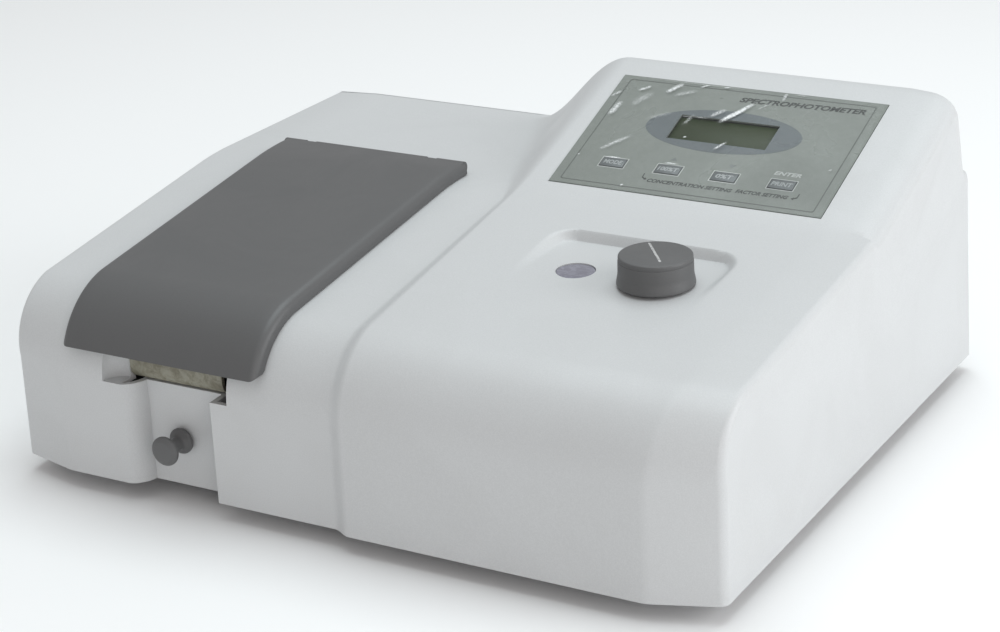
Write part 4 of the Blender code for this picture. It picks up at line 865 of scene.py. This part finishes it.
# Printed words: name, words, middle, size, finish, extra weight, slant, turn in degrees.
WORDS = (
    ("title_print", "SPECTROPHOTOMETER", (119.8, 96.0), (78.0, 4.4), DARK_INK, 0.22, 0.22, 1.2),
    ("left_row_print", "CONCENTRATION SETTING", (84.3, 12.2), (52.5, 3.0), DARK_INK, 0.14, 0.22, 0.6),
    ("right_row_print", "FACTOR SETTING", (128.6, 13.0), (31.5, 3.0), DARK_INK, 0.14, 0.22, 0.6),
    ("enter_print", "ENTER", (136.4, 33.0), (16.5, 3.2), PALE_INK, 0.12, 0.2, 0.0))


def oval_and_window():
    """Matching outlines of the printed oval and of the display window inside it."""
    a, b = OVAL
    half_u, half_v = (LCD_U[1] - LCD_U[0]) / 2, (LCD_V[1] - LCD_V[0]) / 2
    wu, wv = (LCD_U[0] + LCD_U[1]) / 2, (LCD_V[0] + LCD_V[1]) / 2
    corners = [math.atan2(sv * half_v, su * half_u) % math.tau for su in (-1, 1) for sv in (-1, 1)]
    angles = sorted([math.tau * k / 96 for k in range(96)] + corners)
    outer, inner = [], []
    for t in angles:
        out = 1.0 / math.hypot(math.cos(t) / a, math.sin(t) / b)
        outer.append((wu + out * math.cos(t), wv + out * math.sin(t)))
        reach = min(half_u / max(abs(math.cos(t)), 1e-6), half_v / max(abs(math.sin(t)), 1e-6))
        inner.append((wu + reach * math.cos(t), wv + reach * math.sin(t)))
    return outer, inner


def panel_box(name, us, vs, ws, grow=0.0, finish=None):
    """A box on the panel between two u, two v and two w; grow widens it in u and v."""
    return box_piece(name, (us[0] - grow, vs[0] - grow, ws[0]), (us[1] + grow, vs[1] + grow, ws[1]), finish,
                     PANEL)


def print_frame(name, us, vs, line, radii, steps, finish):
    """A printed line round a rectangle; radii are those of its outer and inner corners."""
    outer = rounded_rectangle(us[0] - line, us[1] + line, vs[0] - line, vs[1] + line, (radii[0],) * 4, steps)
    inner = rounded_rectangle(*us, *vs, (radii[1],) * 4, steps)
    return ring_prism(name, outer, inner, PRINT_W, PRINT_W + INK_LIFT, finish, PANEL)


def print_shape(name, outline, finish):
    return prism(name, outline, PRINT_W, PRINT_W + INK_LIFT, "Z", finish, PANEL)


def make_overlay():
    overlay = panel_box("overlay_sheet", (0.0, PANEL_W), (0.0, PANEL_H), (-0.5, OVERLAY_TOP), finish=OVERLAY)
    cuts = [panel_box("window", LCD_U, LCD_V, (-5.0, 5.0))]
    cuts += [panel_box("key_hole", span(u, KEY_W), span(KEY_V, KEY_H), (-5.0, 5.0), 0.3)
             for u, words in KEYS.values()]
    settle(cut_away(overlay, cuts), INSTRUMENT, "panel_print", "panel_overlay")


def make_printing():
    border_us, border_vs = (span(size / 2, size - 2 * (margin + BORDER_LINE))
                            for size, margin in ((PANEL_W, BORDER_U), (PANEL_H, BORDER_V)))
    prints = [ring_prism("oval_print", *oval_and_window(), PRINT_W, PRINT_W + 0.06, OVAL_INK, PANEL),
              print_frame("border_print", border_us, border_vs, BORDER_LINE, (1.5, 1.5), 6, LINE_INK)]
    for u, words in KEYS.values():
        prints.append(print_frame("key_outline", span(u, KEY_W + 0.7), span(KEY_V, KEY_H + 0.7), KEY_LINE,
                                  (0.3, 0.1), 2, PALE_INK))
    for u, v, way in ((65.6, 33.4, 1), (101.6, 33.8, -1)):
        arrow = [(u - 2.3, v - 1.5 * way), (u + 2.3, v - 1.5 * way), (u, v + 1.9 * way)]
        prints.append(print_shape("arrow_print", arrow, MID_INK))
    for u, side in ((53.6, 1), (149.9, -1)):
        prints.append(print_shape("hook_print", [(u + along * side, v) for along, v in HOOK], DARK_INK))
    prints += [lettering(name, words, at, size, finish, bold, lean, PRINT_W, tilt)
               for name, words, at, size, finish, bold, lean, tilt in WORDS]
    settle(join(prints, "panel_printing"), INSTRUMENT, "panel_print")


def make_keys():
    for name, (u, words) in KEYS.items():
        cap = panel_box(name + "_cap", span(u, KEY_W), span(KEY_V, KEY_H), (-2.5, KEY_TOP), finish=KEY_FILM)
        stem = rod("stem", (u, KEY_V, -8.6), 6.5, 2.0, "Z", KEY_FILM, 24, PANEL)
        label = lettering(name + "_label", words, (u, KEY_V), (KEY_WORDS_W[len(words)], 3.5), LABEL_INK, 0.12,
                          0.1, KEY_TOP - 0.02)
        settle(join([rounded(cap, 0.5, 3), stem, label], name + "_button"), name + "_body", "key_print", name)


def make_display():
    bezel = panel_box("display_case", (44.0, 122.0), (46.0, 83.0), (-10.1, -0.9), finish=BLACK_PLASTIC)
    cut_away(bezel, [panel_box("glass_seat", LCD_U, LCD_V, (-2.4, 2.0), 0.6)])
    glass = rounded(panel_box("display_pane", LCD_U, LCD_V, (-2.3, -1.3), 0.4, DISPLAY), 0.3, 2)
    settle(join([bezel, glass], "display_unit"), INSTRUMENT, "display_green", "display_module")


# Painted highlights: streaks of glare painted onto the creased film as white marks: middle (u, v), length,
# width, turn in degrees, strength.
GLARE = (
    (84.5, 81.0, 24.0, 3.6, 57.0, 0.95), (87.5, 49.3, 9.0, 1.8, 60.0, 0.7),
    (63.4, 53.4, 1.8, 1.6, 0.0, 1.0), (37.5, 97.7, 13.0, 4.2, 54.0, 0.6),
    (19.0, 94.2, 9.0, 2.6, 40.0, 0.6), (9.4, 72.5, 15.0, 4.6, 84.0, 0.55),
    (3.4, 86.5, 8.0, 3.0, 56.0, 0.5), (106.8, 101.6, 9.0, 1.6, 95.0, 0.8),
    (117.0, 105.2, 8.0, 1.3, 8.0, 0.8), (55.2, 103.2, 6.0, 1.4, 40.0, 0.8),
    (69.5, 104.3, 6.0, 1.3, 14.0, 0.8), (24.0, 40.5, 22.0, 4.0, 49.0, 0.4),
    (58.6, 69.6, 13.0, 3.6, 76.0, 0.3), (61.0, 72.8, 20.0, 1.5, 3.0, 0.35),
    (29.0, 26.9, 12.0, 1.2, 4.0, 0.7), (66.6, 28.2, 9.0, 1.1, 2.0, 0.65),
    (136.6, 28.6, 8.0, 0.9, 0.0, 0.4), (7.6, 26.0, 1.2, 1.0, 0.0, 0.9), (45.8, 3.9, 1.2, 1.0, 0.0, 0.9),
    (158.7, 40.0, 1.2, 1.1, 0.0, 0.9), (40.0, 70.5, 18.0, 6.0, 35.0, 0.22),
    (46.0, 94.0, 16.0, 5.0, 30.0, 0.3), (73.5, 79.0, 12.0, 4.5, 48.0, 0.45),
    (57.0, 105.2, 100.0, 0.9, 0.4, 0.45), (22.0, 84.0, 18.0, 8.0, 60.0, 0.3),
    (98.0, 90.0, 10.0, 1.6, 50.0, 0.35))


# Painted highlight: how strongly glare is painted onto the film at (u, v), taken from the strongest streak
# there.
def glare_at(u, v):
    total = 0.0
    for cu, cv, length, width, turn, strength in GLARE:
        along = Vector((math.cos(math.radians(turn)), math.sin(math.radians(turn))))
        away = Vector((u - cu, v - cv))
        a, b = away.dot(along) / (length / 2), (away.x * along.y - away.y * along.x) / (width / 2)
        total = max(total, strength * math.exp(-1.3 * (a ** 4 + b * b)))
    return total


def crease(u, v):
    """Soft folds in the film, strongest towards the rear left corner."""
    fold = abs(mathutils_noise.noise(Vector((u * 0.09 + v * 0.05, v * 0.03, 1.3))))
    small = abs(mathutils_noise.noise(Vector((u * 0.22 - v * 0.12, v * 0.16, 7.7))))
    return (1.0 - fold * 1.8) * 0.30 + (1.0 - small * 1.6) * 0.12


FILM_STEP, FILM_MARGIN, FILM_EDGE_W, FILM_W, FILM_THICK = 1.1, 0.6, 0.62, 1.1, 0.06


def film_group():
    """Clear film with painted highlights: it turns white where glare is painted along its creases."""
    tree, start, end = new_group("film_glare", (
        ("Clear", "Float", 0.015), ("Painted Highlight", "Float", 0.9), ("Scratch Scale", "Float", 900.0)),
        (("Alpha", "Float"), ("Height", "Float")))
    # The painted glare highlights kept on the film's points, broken up by fine flecks; where they are strong
    # the film turns white.
    mark = node(tree, "ShaderNodeAttribute", attribute_name="glare").outputs["Fac"]
    place = node(tree, "ShaderNodeTexCoord").outputs["Object"]
    fleck = noise(tree, place, start.outputs["Scratch Scale"], 3.0, 0.6, 0.8)
    broken = math_node(tree, "MULTIPLY", mark, remap(tree, fleck, 0.32, 0.62, 0.35, 1.0))
    feed(tree, end, {"Alpha": remap(tree, broken, 0.04, 0.8, start.outputs["Clear"], start.outputs["Painted Highlight"]),
                     "Height": fleck})
    return tree


def make_film():
    """Clear protective film over the console panel, creased, with painted highlights of glare along its
    folds.
    """
    clear = finish_material("protective_film", film_group(), {}, 0.2,
                            {"Base Color": (0.93, 0.95, 0.95, 1.0), "Roughness": 0.25})
    us, vs = ([FILM_MARGIN + FILM_STEP * k for k in range(int((size - 2 * FILM_MARGIN) / FILM_STEP) + 1)]
              for size in (PANEL_W, PANEL_H))
    bm = bmesh.new()
    layer = bm.verts.layers.float.new("glare")

    def film_point(u, v, lift):
        inward = smooth_step(min(u, PANEL_W - u, v, PANEL_H - v) / 4.0)
        made = bm.verts.new((u, v, FILM_EDGE_W + (FILM_W - FILM_EDGE_W + crease(u, v)) * inward + lift))
        # Painted highlight: each point of the film keeps the glare painted there.
        made[layer] = glare_at(u, v)
        return made

    sheets = [[[film_point(u, v, lift) for u in us] for v in vs] for lift in (0.0, FILM_THICK)]
    close_sheets(bm, *sheets)
    settle(to_object("protective_film", bm, clear, PANEL, 60), INSTRUMENT, "clear_glass")


# ---- screws, fan, window, strip and feet ----
SLOT_LENGTH, SLOT_WIDTH, SLOT_DEPTH = 1.1, 0.24, 1.2     # of a screw's cross, to its head
GUARD_WIRE_R = 0.8
BLADES, BLADE_THICK, BLADE_CAMBER, ROTOR_Y, ROTOR_DEPTH = 7, 0.9, 0.10, 328.0, 11.7


def screw_tree():
    """Pan-head screws with a cross recess, one on every vertex of the mesh that goes in."""
    tree, start, end = new_group("pan_head_screws", (
        ("Geometry", "Geometry", None), ("Head Radius", "Float", 0.003), ("Head Height", "Float", 0.0018),
        ("Turn", "Vector", (0.0, 0.0, 0.0)), ("Finish", "Material", None)),
        (("Geometry", "Geometry"),), "GeometryNodeTree")
    radius, height = start.outputs["Head Radius"], start.outputs["Head Height"]

    def made(kind, inputs):
        return feed(tree, node(tree, kind), inputs).outputs[0]

    ball = made("GeometryNodeMeshUVSphere", {"Segments": 24, "Rings": 12, "Radius": radius})
    flat = made("ShaderNodeCombineXYZ", {0: 1.0, 1: 1.0, 2: math_node(tree, "DIVIDE", height, radius)})
    cut = node(tree, "GeometryNodeMeshBoolean", operation="DIFFERENCE", solver="EXACT")
    feed(tree, cut, {"Mesh 1": made("GeometryNodeTransform", {"Geometry": ball, "Scale": flat})})
    length = math_node(tree, "MULTIPLY", radius, SLOT_LENGTH)
    width = math_node(tree, "MULTIPLY", radius, SLOT_WIDTH)
    depth = math_node(tree, "MULTIPLY", height, SLOT_DEPTH)
    up = made("ShaderNodeCombineXYZ", {2: height})
    for long_axis in (0, 1):
        size = made("ShaderNodeCombineXYZ", {long_axis: length, 1 - long_axis: width, 2: depth})
        bar = made("GeometryNodeMeshCube", {"Size": size})
        feed(tree, cut, {"Mesh 2": made("GeometryNodeTransform", {"Geometry": bar, "Translation": up})})
    spread = made("GeometryNodeInstanceOnPoints", {
        "Points": start.outputs["Geometry"], "Instance": cut.outputs["Mesh"],
        "Rotation": made("FunctionNodeEulerToRotation", {0: start.outputs["Turn"]})})
    feed(tree, end, {0: made("GeometryNodeSetMaterial", {
        "Geometry": made("GeometryNodeRealizeInstances", {0: spread}),
        "Material": start.outputs["Finish"]})})
    return tree


def grow_nodes(name, tree, points, finish, values):
    """Run a node tree on loose points (millimetres) and keep the result as a plain mesh."""
    mesh = bpy.data.meshes.new(name)
    mesh.from_pydata([tuple(TO_MODEL @ Vector(point)) for point in points], [], [])
    made = add_to_scene(name, mesh)
    mesh.materials.append(finish)
    modifier = add_modifier(made, "NODES", node_group=tree)
    sockets = {item.name: item.identifier for item in tree.interface.items_tree if item.in_out == "INPUT"}
    for label, value in values.items():
        modifier[sockets[label]] = value
    modifier[sockets["Finish"]] = finish
    return baked(made, SHARP_DEG)


def make_screws():
    tree = screw_tree()
    rear_points = [(x, REAR_PANEL_Y + 0.3, z) for x in (201.0, 418.5) for z in (17.0, 92.0)]
    rear_points += [(x, REAR_PANEL_Y + 0.3, z) for x in span(FAN_X, 50.0) for z in span(FAN_Z, 50.0)]
    rear_points += [(x, REAR_PANEL_Y + 1.6, 43.0) for x in (286.6, 313.4)]
    rear = grow_nodes("rear_panel_screws", tree, rear_points, CHROME,
                      {"Head Radius": 0.0026, "Head Height": 0.0014, "Turn": (-math.pi / 2, 0.0, 0.0)})
    settle(rear, INSTRUMENT, "chrome_bright")
    under_points = [(x, y, 1.4) for x in (14.0, 220.0, 425.0) for y in (30.0, 190.0, 344.0)]
    under = grow_nodes("base_plate_screws", tree, under_points, CHROME,
                       {"Head Radius": 0.0034, "Head Height": 0.0016, "Turn": (math.pi, 0.0, 0.0)})
    settle(under, INSTRUMENT, "chrome_bright")


def guard_ring(radius, y):
    bm = bmesh.new()
    loops = []
    for turn in (math.tau * k / 64 for k in range(64)):
        loop = []
        for around in (math.tau * k / 10 for k in range(10)):
            out = radius + GUARD_WIRE_R * math.cos(around)
            loop.append(bm.verts.new((FAN_X + out * math.cos(turn), y + GUARD_WIRE_R * math.sin(around),
                                      FAN_Z + out * math.sin(turn))))
        loops.append(loop)
    bridge(bm, loops, True, True)
    return to_object("guard_ring", bm, CHROME, smooth=60)


def make_guard():
    """Round wire guard over the fan."""
    y = REAR_PANEL_Y + 2.2
    wires = [guard_ring(radius, y) for radius in (9.0, 14.5, 20.0, 25.5)]
    for k in range(4):
        turn = Matrix.Rotation(math.radians(45 + 90 * k), 4, "Y")
        wires.append(rod("guard_spoke", (7.0, 0.0, 0.0), 25.0, 0.7, "X", CHROME, 12,
                         Matrix.Translation((FAN_X, y - 1.2, FAN_Z)) @ turn))
    settle(join(wires, "fan_guard", 60), INSTRUMENT, "chrome_bright")


def fan_blade(number):
    """A twisted blade that flattens towards its tip."""
    bm = bmesh.new()

    def blade_point(out, across, side):
        radius, chord = blend(10.2, 26.4, out), blend(9.5, 12.0, out)
        pitch = math.radians(blend(56.0, 36.0, out))
        offset = (across - 0.5) * chord
        swing = (offset * math.cos(pitch) / radius + math.tau * number / BLADES
                 + BLADE_CAMBER * math.sin(math.pi * across))
        return bm.verts.new((FAN_X + radius * math.sin(swing),
                             ROTOR_Y + ROTOR_DEPTH / 2 + offset * math.sin(pitch) + side,
                             FAN_Z + radius * math.cos(swing)))

    close_sheets(bm, *([[blade_point(i / 6, j / 5, side) for j in range(6)] for i in range(7)]
                       for side in (-BLADE_THICK / 2, BLADE_THICK / 2)))
    return to_object("blade", bm, BLACK_PLASTIC, smooth=50)


def make_rotor():
    hub_side = [(0.0, 0.0), (11.0, 0.0), (11.0, ROTOR_DEPTH), (0.0, ROTOR_DEPTH)]
    hub = lathe("hub", rounded_profile(hub_side, 1.2), BLACK_PLASTIC, (FAN_X, ROTOR_Y, FAN_Z), "Y")
    blades = [fan_blade(number) for number in range(BLADES)]
    settle(join([hub] + blades, "fan_impeller"), "fan", "black_plastic", "fan_rotor")


def make_window():
    """Speckled round lens, its rim just under the bay's floor, with a short neck through the hole."""
    top, height = BAY_FLOOR - 0.5, 1.3
    outline = rounded_profile([(0.0, top + 0.15), (WINDOW_R - 2.0, top), (WINDOW_R - 0.25, top - 0.1),
                               (WINDOW_R - 0.25, top - height), (0.0, top - height)], 0.35)
    settle(lathe("window_lens_disc", outline, WINDOW, (WINDOW_X, WINDOW_Y, 0.0), sides=72), INSTRUMENT,
           "lens_glass", "wavelength_window")


def make_sill():
    """The painted strip that shows through the finger notch, with a rolled upper edge."""
    profile = [(12.8, 61.0), (19.6, 61.0), (19.6, 62.4), (14.6, 62.4), (12.2, 65.0), (11.6, 78.6),
               (11.0, 79.7), (10.2, 79.9), (9.5, 79.2), (9.6, 67.0), (10.6, 63.5)]
    settle(prism("sill_strip", profile, 80.6, 142.5, "X", SILL_PAINT, smooth=40), INSTRUMENT, "sill_paint",
           "chamber_sill")


def make_feet():
    side_of_foot = rounded_profile([(0.0, 1.2), (11.0, 1.2), (12.0, -3.0), (11.2, -9.0), (9.8, -10.0),
                                    (5.5, -10.0), (4.5, -7.0), (0.0, -7.0)], 0.8)
    side_of_screw = rounded_profile([(0.0, -6.9), (3.2, -6.9), (3.2, -8.2), (0.0, -8.6)], 0.5)
    for end, y in (("front", 45.0), ("rear", 320.0)):
        for side, x in (("left", 48.0), ("right", WIDTH - 48.0)):
            foot = lathe("foot_body", side_of_foot, RUBBER, (x, y, 0.0))
            screw = lathe("foot_screw", side_of_screw, CHROME, (x, y, 0.0), sides=32)
            settle(join([foot, screw], f"foot_{end}_{side}_rubber"), INSTRUMENT, "rubber_black",
                   f"foot_{end}_{side}")


# ---- CAD nodes that keep their shape ----
KEPT_NODES = (
    (STEEL, "base_plate lid_bracket_left lid_bracket_right serial_port"),
    (GREY_PAINT, "rear_panel lamp_housing detector_housing"),
    (FOAM, "lid_seal"),
    (BLACK_PAINT, "sample_chamber cell_carriage shutter entrance_slit"),
    (ALUMINIUM, "carriage_rail drive_bracket grating_arm grating_table wavelength_dial"),
    (BRASS, "wavelength_cam"),
    (CASING, "rod_bush"),
    (CHROME, "lid_hinge_pin pull_rod wavelength_shaft"),
    (BLACK_PLASTIC, "fan_frame power_inlet fuse_drawer switch_frame power_switch"),
    (LENS, "condenser_lens"),
    (GLASS, "cuvette_1 cuvette_2 cuvette_3 cuvette_4 lamp phototube"),
    (CAST, "optics_plate transformer_core"),
    (MIRROR, "collimating_mirror folding_mirror grating"),
    (CERAMIC, "lamp_socket"),
    (BOARD, "main_board display_board"),
    (COPPER, "transformer_coil"))


def dress_kept_nodes():
    for finish, names in KEPT_NODES:
        for name in names.split():
            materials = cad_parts[name].data.materials
            materials.clear()
            materials.append(finish)


# ---- floor, light and camera ----
FLOOR_HALF, FLOOR_GAP = 6.0, 0.0005     # metres
WORLD_LIGHT = 0.50


def make_stage():
    mesh = bpy.data.meshes.new("floor")
    corners = ((-1, -1), (1, -1), (1, 1), (-1, 1))
    floor_z = CAD_BOX[0][2] - FLOOR_GAP
    mesh.from_pydata([(FLOOR_HALF * x, FLOOR_HALF * y, floor_z) for x, y in corners], [], [(0, 1, 2, 3)])
    floor = add_to_scene("floor", mesh)
    paint = bpy.data.materials.new("floor_paint")
    paint.use_nodes = True
    feed(paint.node_tree, paint.node_tree.nodes["Principled BSDF"],
         {"Base Color": (0.95, 0.95, 0.95, 1.0), "Roughness": 0.9})
    mesh.materials.append(paint)
    world = bpy.data.worlds.new("studio")
    world.use_nodes = True
    feed(world.node_tree, world.node_tree.nodes["Background"],
         {"Color": (1.0, 0.985, 0.985, 1.0), "Strength": WORLD_LIGHT})
    bpy.context.scene.world = world


def area_light(name, place, target, size, power, colour):
    light = bpy.data.lights.new(name, "AREA")
    light.size = size
    light.energy = power
    light.color = colour
    made = add_to_scene(name, light)
    made.location = place
    made.rotation_euler = (Vector(target) - Vector(place)).to_track_quat("-Z", "Y").to_euler()


def make_lights():
    area_light("overhead", (0.0, 0.3, 1.9), (0.0, 0.0, 0.1), 1.6, 19.5, (0.87, 0.975, 1.0))
    area_light("right_bank", (1.9, 0.25, 0.75), (0.1, 0.0, 0.08), 1.4, 17.5, (0.96, 0.985, 1.0))
    area_light("front_fill", (1.5, -1.6, 0.8), (0.0, 0.0, 0.08), 1.0, 6.0, (1.0, 0.955, 0.94))


# Camera: focal length, frame and centre in units of a thousandth of the frame's width.
FOCAL, FRAME_WIDE, FRAME_TALL = 2494.7, 1000.0, 632.0
YAW, PITCH, ROLL = math.radians(30.566), math.radians(21.648), math.radians(-2.730)
EYE = (899.8, -978.8, 594.7)
CENTRE = (496.2, 307.7)


def make_camera():
    back = Vector((math.sin(YAW) * math.cos(PITCH), -math.cos(YAW) * math.cos(PITCH), math.sin(PITCH)))
    across = Vector((math.cos(YAW), math.sin(YAW), 0.0))
    up = back.cross(across)
    turned_across = across * math.cos(ROLL) + up * math.sin(ROLL)
    turned_up = up * math.cos(ROLL) - across * math.sin(ROLL)
    lens = bpy.data.cameras.new("studio_camera")
    lens.sensor_width = 36.0
    lens.lens = FOCAL / FRAME_WIDE * lens.sensor_width
    lens.shift_x = (FRAME_WIDE / 2 - CENTRE[0]) / FRAME_WIDE
    lens.shift_y = (CENTRE[1] - FRAME_TALL / 2) / FRAME_WIDE
    lens.clip_start = 0.01
    made = add_to_scene("studio_camera", lens)
    turn = Matrix((turned_across, turned_up, back)).transposed().to_4x4()
    made.matrix_world = Matrix.Translation(TO_MODEL @ Vector(EYE)) @ turn
    bpy.context.scene.camera = made
    bpy.context.scene.view_settings.view_transform = "Standard"


make_camera()
make_stage()
make_lights()
make_casing()
make_lid()
make_knobs()
make_overlay()
make_printing()
make_keys()
make_display()
make_film()
make_window()
make_sill()
make_feet()
make_screws()
make_guard()
make_rotor()
dress_kept_nodes()
